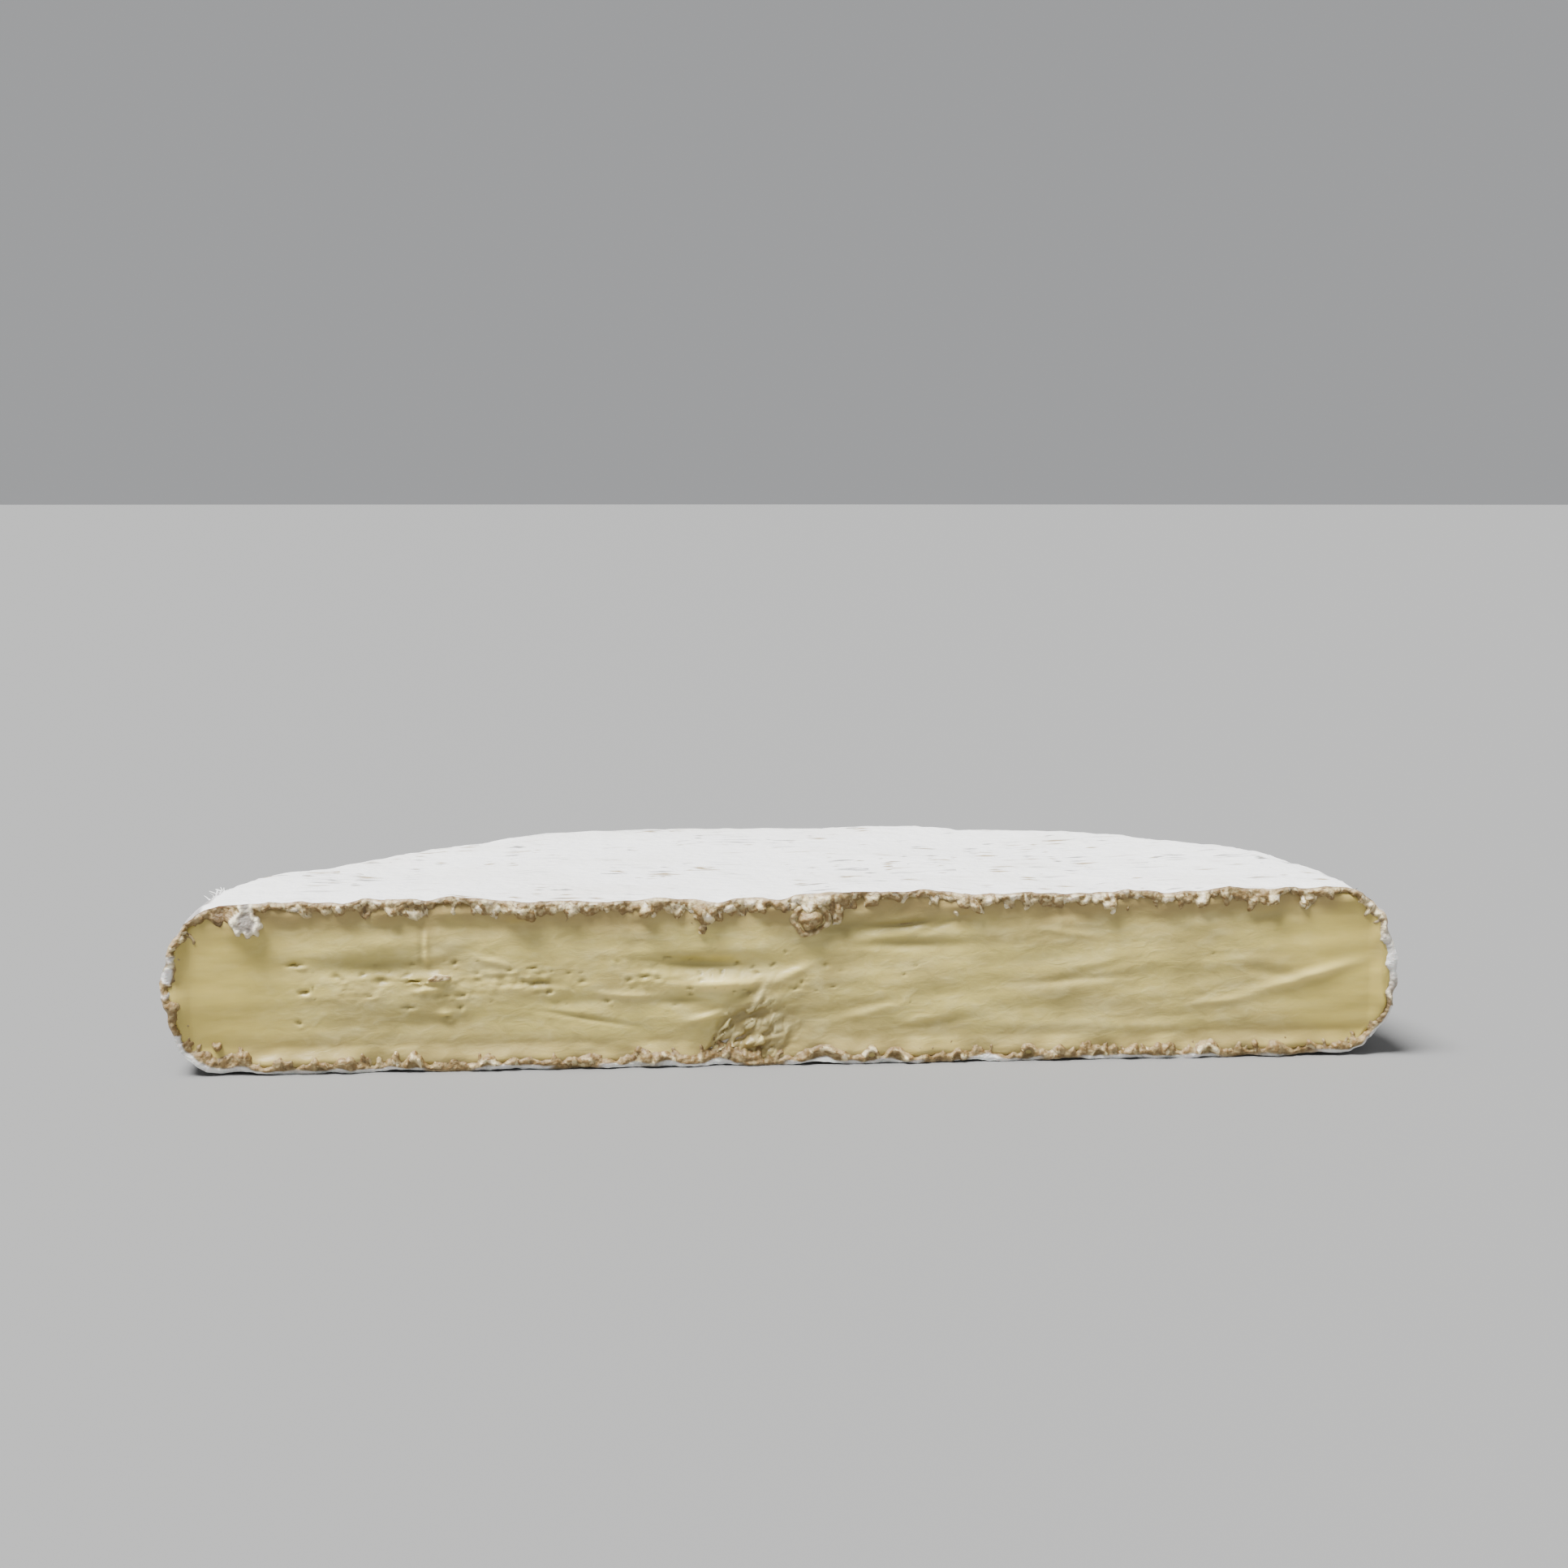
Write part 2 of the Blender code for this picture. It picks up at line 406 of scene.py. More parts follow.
    def tear(self, points: Array) -> Array:
        """Where points near the cut lie once the knife has dragged the rind up and down.

        Args:
            points: settled points, one in each row.

        Returns:
            The dragged points.
        """
        x, y, z = points.T
        along = standing(x, np.zeros_like(x))
        behind = np.maximum(0.0, y + self.cut_ahead)
        top_share = hump(z, behind, (self.thickness, 0.0, self.edge_tear_depth, self.edge_tear_depth))
        tear = noise_at(along, self.edge_tear_length, 3.0)
        tear += 0.6 * noise_at(along, self.edge_tear_length / 2.5, 5.0)
        base_share = hump(z, behind, (0.0, 0.0, self.edge_tear_depth, self.base_lift_depth))
        lift = np.maximum(0.0, noise_at(along, self.edge_tear_length, 11.0) + 0.25)
        rise = top_share * self.edge_tear * tear + base_share * self.base_lift * lift
        return np.stack((x, y, z + rise), axis=1)


class Sketch:
    """A material's node tree, laid node by node."""

    def __init__(self, name: str) -> None:
        """Start a material with one Principled shader.

        Args:
            name: the material's name.
        """
        self.material = bpy.data.materials.new(name)
        self.material.use_nodes = True
        self.tree = self.material.node_tree
        self.shader = self.tree.nodes["Principled BSDF"]
        self.place = self.add("TexCoord", "Object", {})

    def fill(self, node: bpy.types.Node, inputs: dict[str | int, object]) -> None:
        """Give inputs of a node a link or a fixed value.

        Args:
            node: the node.
            inputs: an output of another node or a fixed value, by the input's name or number.
        """
        for name, value in inputs.items():
            if isinstance(value, Socket):
                self.tree.links.new(value, node.inputs[name])
            else:
                node.inputs[name].default_value = value

    def add(self, kind: str, output: str, inputs: dict[str | int, object], **settings: object) -> Socket:
        """Add a node.

        Args:
            kind: what the node's type is called after ShaderNode.
            output: the name of the output that is wanted.
            inputs: a link or a fixed value for each input that needs one.
            settings: the node's own settings, by name.

        Returns:
            The output.
        """
        node = self.tree.nodes.new("ShaderNode" + kind)
        for name, value in settings.items():
            setattr(node, name, value)
        self.fill(node, inputs)
        return node.outputs[output]

    def value(self, name: str) -> Socket:
        """The piece's named number at each point."""
        return self.add("Attribute", "Fac", {}, attribute_name=name)

    def sum(self, kind: str, first: object, second: object, clamp: bool = True) -> Socket:
        """A sum of arithmetic, such as ADD or SUBTRACT, kept between 0 and 1 if it is clamped."""
        return self.add("Math", "Value", {0: first, 1: second}, operation=kind, use_clamp=clamp)

    def times(self, first: object, second: object) -> Socket:
        """Two shares multiplied."""
        return self.sum("MULTIPLY", first, second)

    def besides(self, share: Socket) -> Socket:
        """What a share leaves of 1."""
        return self.sum("SUBTRACT", 1.0, share)

    def step(self, value: Socket, low: float, high: float) -> Socket:
        """0 below low, 1 above high, and smooth between."""
        inputs = {"Value": value, "From Min": low, "From Max": high}
        return self.add("MapRange", "Result", inputs, interpolation_type="SMOOTHSTEP")

    def stretched(self, length: Trio, turn: float = 0.0) -> Socket:
        """The place, turned and scaled.

        Args:
            length: metres for one unit, along X, Y and Z.
            turn: degrees that the pattern is turned about Y.

        Returns:
            The scaled place.
        """
        spin = {"Vector": self.place, "Rotation": (0.0, math.radians(turn), 0.0)}
        scale = {"Vector": self.add("Mapping", "Vector", spin), "Scale": tuple(1.0 / size for size in length)}
        return self.add("Mapping", "Vector", scale)

    def noise(self, place: Socket, detail: float = 3.0, bend: float = 0.0) -> Socket:
        """Cloudy noise, 0 to 1, over a scaled place."""
        inputs = {"Vector": place, "Scale": 1.0, "Detail": detail, "Distortion": bend}
        return self.add("TexNoise", "Fac", inputs)

    def clouds(self, length: Trio, detail: float = 3.0, bend: float = 0.0, turn: float = 0.0) -> Socket:
        """Cloudy noise, 0 to 1, with features of the length along X, Y and Z, turned about Y."""
        return self.noise(self.stretched(length, turn), detail, bend)

    def folds(self, around: float, down: float, detail: float, bend: float) -> Socket:
        """Cloudy noise, 0 to 1, that follows the rim.

        Args:
            around: how long its features are round the rim.
            down: how long they are down it.
            detail: how fine it gets.
            bend: how far it is bent by itself.

        Returns:
            The noise.
        """
        x = self.sum("DIVIDE", self.value("around"), around, clamp=False)
        y = self.sum("DIVIDE", self.value("down"), down, clamp=False)
        return self.noise(self.add("CombineXYZ", "Vector", {"X": x, "Y": y}), detail, bend)

    def dashes(self, size: Pair, fewest: float, longest: float) -> tuple[Socket, Socket]:
        """Pointed dashes scattered in plan, one at most in each cell.

        Args:
            size: the cells' length along X and along Y.
            fewest: how many of the cells stay empty, 0 to 1.
            longest: half the longest dash's length, in cells.

        Returns:
            1 on a dash and 0 beside it, and a random number that each dash has.
        """
        push = {"Vector": self.stretched((0.010, 0.010, 0.05)), "Scale": 1.0}
        moved = {0: self.add("TexNoise", "Color", push), 1: (0.6, 0.6, 0.0), 2: self.stretched((*size, 1.0))}
        cells = {"Vector": self.add("VectorMath", "Vector", moved, operation="MULTIPLY_ADD"), "Scale": 1.0}
        kind = {"voronoi_dimensions": "2D", "distance": "MANHATTAN"}
        away = self.add("TexVoronoi", "Distance", cells, **kind)
        drawn = self.add("SeparateColor", "Red", {"Color": away.node.outputs["Color"]})
        reach = self.add("MapRange", "Result", {"Value": drawn, "From Min": fewest, "To Max": longest})
        return self.step(self.sum("SUBTRACT", reach, away), 0.0, 0.10), drawn.node.outputs["Green"]

    def mix(self, share: Socket, first: object, second: object) -> Socket:
        """Two colours mixed by a share from 0 to 1."""
        return self.add("Mix", "Result", {"Factor": share, "A": first, "B": second}, data_type="RGBA")

    def over(self, base: object, layers: list[tuple[Socket, float, object]]) -> Socket:
        """Lay colours over a base.

        Args:
            base: the colour below them.
            layers: the mask, the strength and the colour of each, the lowest first.

        Returns:
            The colour that shows.
        """
        for mask, strength, colour in layers:
            base = self.mix(self.times(mask, strength), base, colour)
        return base

    def done(self, inputs: dict[str, object], bumps: list[tuple[Socket, float]]) -> Material:
        """Fill the shader.

        Args:
            inputs: a link or a fixed value for each of its inputs that needs one.
            bumps: height maps that raise the surface, each with its depth in metres.

        Returns:
            The finished material.
        """
        normal = {}
        for height, depth in bumps:
            bump = {"Height": height, "Distance": depth, "Strength": 1.0}
            normal = {"Normal": self.add("Bump", "Normal", bump | normal)}
        self.fill(self.shader, inputs | normal)
        return self.material


@dataclass(frozen=True)
class RindFinish:
    """The white mould outside: velvety, with the draining mat's marks, grey on the rim, and darkest in the
    hollows of its folds as painted shade.
    """

    white: Colour = (0.91, 0.905, 0.888, 1.0)
    cream: Colour = (0.83, 0.81, 0.76, 1.0)
    mark_tan: Colour = (0.34, 0.25, 0.125, 1.0)
    mark_grey: Colour = (0.26, 0.25, 0.24, 1.0)
    grey_and_fold_shade: Colour = (0.150, 0.136, 0.132, 1.0)
    ridge_grey: Colour = (0.38, 0.355, 0.350, 1.0)
    roughness: float = 0.93
    specular: float = 0.2
    sheen: float = 0.15
    sheen_roughness: float = 0.6

    def material(self) -> Material:
        """Lay the material.

        Returns:
            The material.
        """
        sketch = Sketch("white_rind")
        step = sketch.step
        long_marks, tint = sketch.dashes((0.0100, 0.0026), 0.55, 0.46)
        short_marks, _ = sketch.dashes((0.0052, 0.0021), 0.66, 0.42)
        thin_marks, _ = sketch.dashes((0.0210, 0.0022), 0.62, 0.30)
        cluster = step(sketch.clouds((0.020, 0.017, 0.05), 1.0), 0.47, 0.58)
        marks = sketch.times(sketch.sum("MAXIMUM", long_marks, short_marks), cluster)
        marks = sketch.sum("MAXIMUM", marks, sketch.times(thin_marks, 0.50))
        rough_edge = sketch.times(sketch.clouds((0.0090, 0.0090, 0.0090)), 0.55)
        side = step(sketch.sum("ADD", sketch.value("side"), rough_edge), 0.74, 0.84)
        upper = sketch.besides(side)
        marks = sketch.times(marks, upper)
        fold = sketch.folds(0.0130, 0.0085, 4.0, 0.6)
        mould = sketch.folds(0.0190, 0.0120, 4.0, 0.8)
        fine = sketch.folds(0.0034, 0.0026, 3.0, 0.2)
        off_middle = sketch.sum("SUBTRACT", fold, 0.5, clamp=False)
        # The rim's own grey, darkest where the folds' bump is lowest and along their slopes as painted shade,
        # paler on their ridges
        grey = sketch.over(self.grey_and_fold_shade, [
            (step(fold, 0.30, 0.66), 1.0, self.ridge_grey),
            (step(fine, 0.46, 0.72), 0.26, self.white),
            (step(mould, 0.52, 0.72), 0.62, self.white),
            (step(sketch.sum("ABSOLUTE", off_middle, 0.0), 0.030, 0.0), 0.40, self.grey_and_fold_shade),
        ])
        base = sketch.over(self.white, [
            (step(sketch.clouds((0.030, 0.030, 0.030), 4.0), 0.45, 0.80), 1.0, self.cream),
            (marks, 0.95, sketch.mix(step(tint, 0.3, 0.6), self.mark_grey, self.mark_tan)),
            (side, 0.92, grey),
        ])
        inputs = {
            "Base Color": base,
            "Roughness": self.roughness,
            "Specular IOR Level": self.specular,
            "Sheen Weight": self.sheen,
            "Sheen Roughness": self.sheen_roughness,
        }
        return sketch.done(inputs, [
            (sketch.clouds((0.0030, 0.0030, 0.0030)), 0.0007),
            (sketch.clouds((0.0013, 0.0013, 0.0013)), 0.0003),
            (sketch.besides(marks), 0.0003),
            (upper, 0.0004),
            (sketch.times(side, fold), 0.0011),
        ])


@dataclass(frozen=True)
class TornRindFinish:
    """The rind's own thickness where the knife has torn it: brown to cream crumbs, white skin, and painted
    shade in its cracks, in the hollow beside the flap and in the flap's middle.
    """

    brown: Colour = (0.215, 0.135, 0.045, 1.0)
    tan: Colour = (0.57, 0.46, 0.240, 1.0)
    cream: Colour = (0.78, 0.67, 0.40, 1.0)
    rosy: Colour = (0.90, 0.80, 0.60, 1.0)
    skin: Colour = (0.80, 0.785, 0.75, 1.0)
    # Grey of the skin's patches, and painted shade in the flap's middle
    skin_grey_and_shade: Colour = (0.23, 0.215, 0.20, 1.0)
    edge: Colour = (0.36, 0.27, 0.16, 1.0)
    # Near black: painted shade in the deepest cracks and in the hollow beside the flap
    deep: Colour = (0.085, 0.045, 0.014, 1.0)
    roughness: float = 0.58
    under_skin: float = 0.10
    under_skin_depth: float = 0.002

    def material(self) -> Material:
        """Lay the material.

        Returns:
            The material.
        """
        sketch = Sketch("torn_rind")
        step = sketch.step
        tone, crease = sketch.value("tone"), sketch.value("crease")
        grain = sketch.clouds((0.0011, 0.0011, 0.0009))
        patch = sketch.clouds((0.0034, 0.0034, 0.0026), 3.0, 0.4)
        greyed = sketch.sum("MAXIMUM", step(patch, 0.56, 0.76), crease)
        base = sketch.over(self.brown, [
            (step(tone, 0.08, 0.26), 1.0, self.tan),
            (step(tone, 0.22, 0.44), 1.0, self.cream),
            (step(tone, 0.44, 0.70), 1.0, self.rosy),
            (step(grain, 0.60, 0.36), 0.45, self.tan),
            # Painted shade: brown in the cracks, near black in the deepest of them and in the hollow beside
            # the flap
            (crease, 0.42, self.brown),
            (step(crease, 0.93, 1.0), 0.62, self.deep),
            (sketch.value("line"), 0.70, self.edge),
            # White skin, grey in patches and, as painted shade, in the flap's middle
            (sketch.value("skin"), 1.0, sketch.mix(greyed, self.skin, self.skin_grey_and_shade)),
        ])
        inputs = {
            "Base Color": base,
            "Roughness": self.roughness,
            "Subsurface Weight": self.under_skin,
            "Subsurface Scale": self.under_skin_depth,
        }
        return sketch.done(inputs, [(patch, 0.0005), (grain, 0.00035)])


@dataclass(frozen=True)
class PasteFinish:
    """The paste: pale yellow and supple, smeared by the knife with painted highlight and shade on its relief,
    and browner beside the rind, partly a stain and partly painted shade.
    """

    yellow: Colour = (0.64, 0.53, 0.155, 1.0)
    khaki: Colour = (0.50, 0.40, 0.130, 1.0)
    end_gold: Colour = (0.58, 0.455, 0.098, 1.0)
    cream: Colour = (0.80, 0.69, 0.31, 1.0)
    smear: Colour = (0.86, 0.70, 0.23, 1.0)
    shade: Colour = (0.28, 0.225, 0.065, 1.0)
    # Brown beside the rind: partly a stain, partly painted shade under the torn rind
    brown: Colour = (0.36, 0.26, 0.090, 1.0)
    # Painted shade in the hollows of the torn fan
    hollow: Colour = (0.24, 0.175, 0.070, 1.0)
    crumb: Colour = (0.68, 0.59, 0.30, 1.0)
    roughness: float = 0.42
    under_skin: float = 0.15
    under_skin_depth: float = 0.004
    under_skin_spread: Trio = (1.0, 0.7, 0.35)

    def material(self) -> Material:
        """Lay the material.

        Returns:
            The material.
        """
        sketch = Sketch("paste")
        step, clouds = sketch.step, sketch.clouds
        streak = clouds((0.017, 0.01, 0.0046), 3.0, 0.3, 5.0)
        mottle = clouds((0.0044, 0.004, 0.0022), 4.0, 0.5, 6.0)
        blotch = clouds((0.0090, 0.006, 0.0050), 5.0, 0.3, -12.0)
        flecks = step(clouds((0.0024, 0.002, 0.0009), 3.0, 0.0, -8.0), 0.58, 0.72)
        flecks = sketch.times(flecks, step(clouds((0.018, 0.01, 0.008), 1.0), 0.48, 0.62))
        near_end = sketch.value("near_end")
        # The torn fan: cream crumbs, darker in its hollows as painted shade and paler on its ridges as
        # painted highlight
        torn = sketch.mix(step(sketch.value("torn_tone"), 0.1, 0.8), self.hollow, self.crumb)
        base = sketch.over(self.yellow, [
            (step(clouds((0.026, 0.02, 0.0095), 5.0, 0.6, 4.0), 0.36, 0.64), 1.0, self.khaki),
            (step(streak, 0.50, 0.74), 0.34, self.cream),
            (step(streak, 0.50, 0.28), 0.22, self.shade),
            (step(mottle, 0.50, 0.70), 0.32, self.cream),
            (step(mottle, 0.48, 0.30), 0.20, self.shade),
            (step(blotch, 0.52, 0.70), 0.30, self.cream),
            (step(blotch, 0.47, 0.30), 0.24, self.shade),
            (flecks, 0.18, self.cream),
            (near_end, 0.75, self.end_gold),
            # Paler where the relief stands proud and darker where it sinks: partly the smears' own colour,
            # partly painted highlight and shade
            (sketch.value("light"), 1.0, self.smear),
            (sketch.value("dark"), 1.0, self.shade),
            (sketch.value("torn"), 0.72, torn),
            # Browner beside the rind: partly a stain, partly painted shade under the torn rind's overhang
            (sketch.value("rind_stain_and_shade"), 1.0, self.brown),
        ])
        away = sketch.besides(near_end)
        inputs = {
            "Base Color": base,
            "Roughness": self.roughness,
            "Subsurface Weight": self.under_skin,
            "Subsurface Scale": self.under_skin_depth,
            "Subsurface Radius": self.under_skin_spread,
        }
        return sketch.done(inputs, [
            (sketch.times(streak, away), 0.00014),
            (sketch.times(mottle, away), 0.00026),
            (clouds((0.0045, 0.002, 0.0012), 3.0, 0.0, 4.0), 0.00004),
        ])


@dataclass(frozen=True)
class StudioFinish:
    """The plain pale floor."""

    floor: Colour = (0.20, 0.20, 0.198, 1.0)
    roughness: float = 0.75

    def material(self) -> Material:
        """Lay the material, and return it."""
        return Sketch("studio_floor").done({"Base Color": self.floor, "Roughness": self.roughness}, [])


class CutOutline:
    """The outline of the cut face as seen from in front, and places measured from it."""

    flat_overlap = 0.004
    end_overlap = 0.002

    def __init__(self, form: WheelForm, loop: Array) -> None:
        """Keep the outline.

        Args:
            form: the wheel's form.
            loop: X and Z of the outline, clockwise from the left end of its top.
        """
        self.loop = loop
        self.closed = np.concatenate((loop, loop[:1]))
        steps = np.linalg.norm(np.diff(self.closed, axis=0), axis=1)
        self.run = np.concatenate(([0.0], np.cumsum(steps)))
        self.length = float(self.run[-1])
        self.reach = form.radius - form.middle_inset
        self.middle = form.middle_height

    def inward(self, flat: Array) -> Array:
        """Directions towards the middle line of the cut face.

        Args:
            flat: X and Z of places on it.

        Returns:
            A unit vector for each place.
        """
        nearest = np.clip(flat[:, 0], -self.reach, self.reach)
        way = np.stack((nearest, np.full(len(flat), self.middle)), axis=1) - flat
        return way / np.maximum(np.linalg.norm(way, axis=1, keepdims=True), TINY)

    def at(self, run: Array) -> Array:
        """Places on the outline at distances along it."""
        return np.stack([np.interp(run, self.run, self.closed[:, side]) for side in (0, 1)], axis=1)

    def depth(self, x: Array, z: Array) -> Array:
        """How far inside the outline places of the cut face lie.

        Args:
            x: places along the cut.
            z: their heights.

        Returns:
            The depth of each place.
        """
        loop_x, loop_z = self.loop.T
        upper = loop_z > self.middle
        flat_part = np.abs(loop_x) <= self.reach + self.flat_overlap
        heights = []
        for part in (flat_part & upper, flat_part & ~upper):
            order = np.argsort(loop_x[part])
            heights.append(np.interp(x, loop_x[part][order], loop_z[part][order]))
        depth = np.where(z > self.middle, heights[0] - z, z - heights[1])
        for side in (-1.0, 1.0):
            part = loop_x * side > self.reach - self.end_overlap
            past, above = loop_x[part] * side - self.reach, loop_z[part] - self.middle
            angle = np.arctan2(above, past)
            order = np.argsort(angle)
            here_past, here_above = x * side - self.reach, z - self.middle
            here = np.arctan2(here_above, here_past)
            edge = np.interp(here, angle[order], np.hypot(above, past)[order])
            depth = np.where(x * side > self.reach, edge - np.hypot(here_above, here_past), depth)
        return depth


@dataclass
class Part:
    """A part of the cheese, built round the wheel's centre and shifted into the frame."""

    form: WheelForm
    shift: Vector

    def proud_of_cut(self, x: Array, z: Array, height: Array) -> Array:
        """Points of the cut face that stand a height proud of the cut plane."""
        return standing(x, z, -self.form.cut_ahead - height)

    def make(
        self,
        name: str,
        points: Array,
        faces: list[list[int]],
        material: Material,
        values: dict[str, Array],
    ) -> Piece:
        """Make a smooth closed mesh object.

        Args:
            name: the piece's name.
            points: its points, one in each row.
            faces: the point numbers of each face.
            material: its finish.
            values: named numbers that the finish reads, 0 at the points after their last one.

        Returns:
            The new object, linked to the scene.
        """
        mesh = bpy.data.meshes.new(name)
        mesh.from_pydata((points + np.array(self.shift)).tolist(), [], faces)
        mesh.materials.append(material)
        for key, numbers in values.items():
            layer = mesh.attributes.new(key, "FLOAT", "POINT")
            padded = np.zeros(len(points), np.float32)
            padded[:len(numbers)] = numbers
            layer.data.foreach_set("value", padded)
        shape = bmesh.new()
        shape.from_mesh(mesh)
        bmesh.ops.recalc_face_normals(shape, faces=list(shape.faces))
        shape.to_mesh(mesh)
        shape.free()
        mesh.shade_smooth()
        mesh.set_sharp_from_angle(angle=math.radians(SHARP_ANGLE))
        mesh.update()
        piece = bpy.data.objects.new(name, mesh)
        bpy.context.scene.collection.objects.link(piece)
        return piece


@dataclass
class Rind(Part):
    """The whole skin of the half wheel."""

    columns: int = 360
    first_step: float = 0.00030
    last_step: float = 0.00130
    growth: float = 1.22
    rim_rings: int = 54
    section_marks: int = 721
    base_rows: int = 4
    closing_depths: Row = (0.0004, 0.0010, 0.0018)
    closing_sinks: Row = (0.0004, 0.0016, 0.0046)
    swell_relief: float = 0.00060
    swell_length: float = 0.0300
    down_relief: float = 0.00034
    down_length: float = 0.0130
    felt_relief: float = 0.00020
    felt_length: Trio = (0.0075, 0.0020, 0.004)
    fold_relief: float = 0.0012
    fold_length: float = 0.0070
    fold_stretch: Trio = (0.5, 1.0, 1.0)
    fold_bend: Trio = (0.002, 0.003, 0.0)
    fold_bend_length: float = 0.0090
    fold_level: float = 0.30
    fold_start: Pair = (0.1, 0.6)
    resting_height: float = 0.0015
    cut_fade: float = 0.0020
    bake_side: float = 0.392
    bake_front: float = 0.006
    bake_turn: float = 0.03
    hidden_scale: float = 0.2

    def half_disc(self, shares: Array) -> tuple[Array, Array]:
        """A grid over a half disc whose rows start along its straight side.

        Args:
            shares: how far back each row starts, from 0 to 1.

        Returns:
            Share of the radius, and angle from +X, for each row and column.
        """
        across = np.linspace(-1.0, 1.0, self.columns + 1)[None, :]
        back = shares[:, None] + np.zeros_like(across)
        across = across + np.zeros_like(back)
        beside = np.abs(across) >= back
        quarter = math.pi / 4.0
        low = quarter * back / np.maximum(np.abs(across), TINY)
        low = np.where(across >= 0.0, low, math.pi - low)
        high = 2.0 * quarter - quarter * across / np.maximum(back, TINY)
        return np.where(beside, np.abs(across), back), np.where(beside, low, high)

    def on_circle(self, radius: Array | float, angle: Array) -> tuple[Array, Array]:
        """Plan position on a circle that the cut crosses a little in front of its centre.

        Args:
            radius: the circle's radius.
            angle: 0 at its right end on the cut, pi at its left end.

        Returns:
            X and Y.
        """
        past = np.arcsin(self.form.cut_ahead / radius)
        turn = angle * (math.pi + 2.0 * past) / math.pi - past
        return radius * np.cos(turn), radius * np.sin(turn)

    def flat_sheet(self, shares: Array, height: float) -> Array:
        """A grid of points over a flat half disc, out to where the rim's rounding starts.

        Args:
            shares: how far back each row starts, from 0 to 1.
            height: the height of the sheet.

        Returns:
            The points, by row and column.
        """
        share, angle = self.half_disc(shares)
        edge_x, edge_y = self.on_circle(self.form.radius - self.form.shoulder_width, angle)
        x = share * edge_x
        y = share * (edge_y + self.form.cut_ahead) - self.form.cut_ahead
        return np.stack((x, y, np.full_like(x, height)), axis=2)

    def around(self, x: Array, y: Array) -> Array:
        """How far round the rim places lie.

        Args:
            x: places along the cut.
            y: how far behind the wheel's centre they are.

        Returns:
            Metres from a little in front of the rim's right end.
        """
        turn = np.arctan2(y, x)
        turn = np.where(turn < -math.pi / 2.0, turn + 2.0 * math.pi, turn)
        return (turn + self.bake_turn) * self.form.radius

    def section(self) -> Array:
        """The rim's rings on its section, evenly spaced.

        Returns:
            Distance out, height and run along the section of each.
        """
        angles = np.linspace(math.pi / 2.0, -math.pi / 2.0, self.section_marks)
        out, height = self.form.rim_section(angles)
        run = np.concatenate(([0.0], np.cumsum(np.hypot(np.diff(out), np.diff(height)))))
        marks = np.linspace(0.0, run[-1], self.rim_rings + 1)
        return np.stack((np.interp(marks, run, out), np.interp(marks, run, height), marks), axis=1)

    def build(self, material: Material) -> tuple[Piece, CutOutline]:
        """Build the skin.

        Args:
            material: its finish.

        Returns:
            The piece, and the outline of its edge round the cut.
        """
        # Top, then the rim's rings, then the base's rows, each a grid of point numbers
        inner = self.form.radius - self.form.shoulder_width
        shares = graded_steps(inner, self.first_step, self.last_step, self.growth) / inner
        top = self.flat_sheet(shares, self.form.thickness)
        rows, columns = top.shape[0] - 1, top.shape[1] - 1
        index = np.arange(top.shape[0] * top.shape[1]).reshape(top.shape[:2])
        ring = np.concatenate((index[:, columns], index[rows, columns - 1::-1], index[rows - 1::-1, 0]))
        turn = self.half_disc(shares)[1].ravel()[ring]
        section = self.section()
        points = [top.reshape(-1, 3)]
        rings = [ring]
        count = len(points[0])
        for out, height, _ in section[1:]:
            x, y = self.on_circle(out, turn)
            points.append(np.stack((x, y, np.full_like(x, height)), axis=1))
            rings.append(count + np.arange(len(ring)))
            count += len(ring)
        rings = np.stack(rings)
        base = self.flat_sheet(shares[:self.base_rows + 1], 0.0)
        base_index = []
        for row in range(self.base_rows + 1):
            points.append(base[row, 1:columns])
            inside = count + np.arange(columns - 1)
            count += columns - 1
            base_index.append(np.concatenate(([rings[-1, -1 - row]], inside, [rings[-1, row]])))
        base_index = np.stack(base_index)
        points = np.concatenate(points)
        quads = np.concatenate((grid_faces(index), grid_faces(rings), grid_faces(base_index)))
        charts = [Chart.TOP] * (rows * columns) + [Chart.RIM] * (self.rim_rings * (len(ring) - 1))
        charts += [Chart.BASE] * (self.base_rows * columns)

        # The skin's relief and its edge along the cut
        run = np.zeros(count)
        run[rings] = section[:, 2][:, None]
        side = self.form.rim_share(points)
        base_edge = base_index[0][columns - 1:0:-1]
        edge = np.concatenate((index[0], rings[1:, 0], base_edge, rings[:0:-1, -1]))
        wrapped = np.stack((self.around(points[:, 0], points[:, 1]), run, np.zeros(count)), axis=1)
        points = self.raise_skin(self.form.settle(points), quads, side, edge, wrapped)
        points = self.set_cut(self.form.tear(points), edge)
        outline = CutOutline(self.form, points[edge][:, (0, 2)])

        # The base's own face and the rows that close the skin behind the torn edge
        cap = np.concatenate((base_index[-1], rings[-1, self.base_rows + 1:-1 - self.base_rows]))
        closing = self.closing(points[edge], outline)
        closing_index = count + np.arange(closing.shape[0] * len(edge)).reshape(-1, len(edge))
        closing_index = np.concatenate((edge[None, :], closing_index))
        hidden = grid_faces(closing_index, closed=True).tolist() + [closing_index[-1].tolist()]
        faces = quads.tolist() + [cap.tolist()] + hidden
        charts += [Chart.BASE] + [Chart.HIDDEN] * len(hidden)
        points = np.concatenate((points, closing.reshape(-1, 3)))
        values = {"side": side, "around": wrapped[:, 0], "down": wrapped[:, 1]}
        piece = self.make("rind", points, faces, material, values)
        self.map_for_bake(piece, points, np.append(run, np.zeros(len(points) - count)), charts)
        return piece, outline

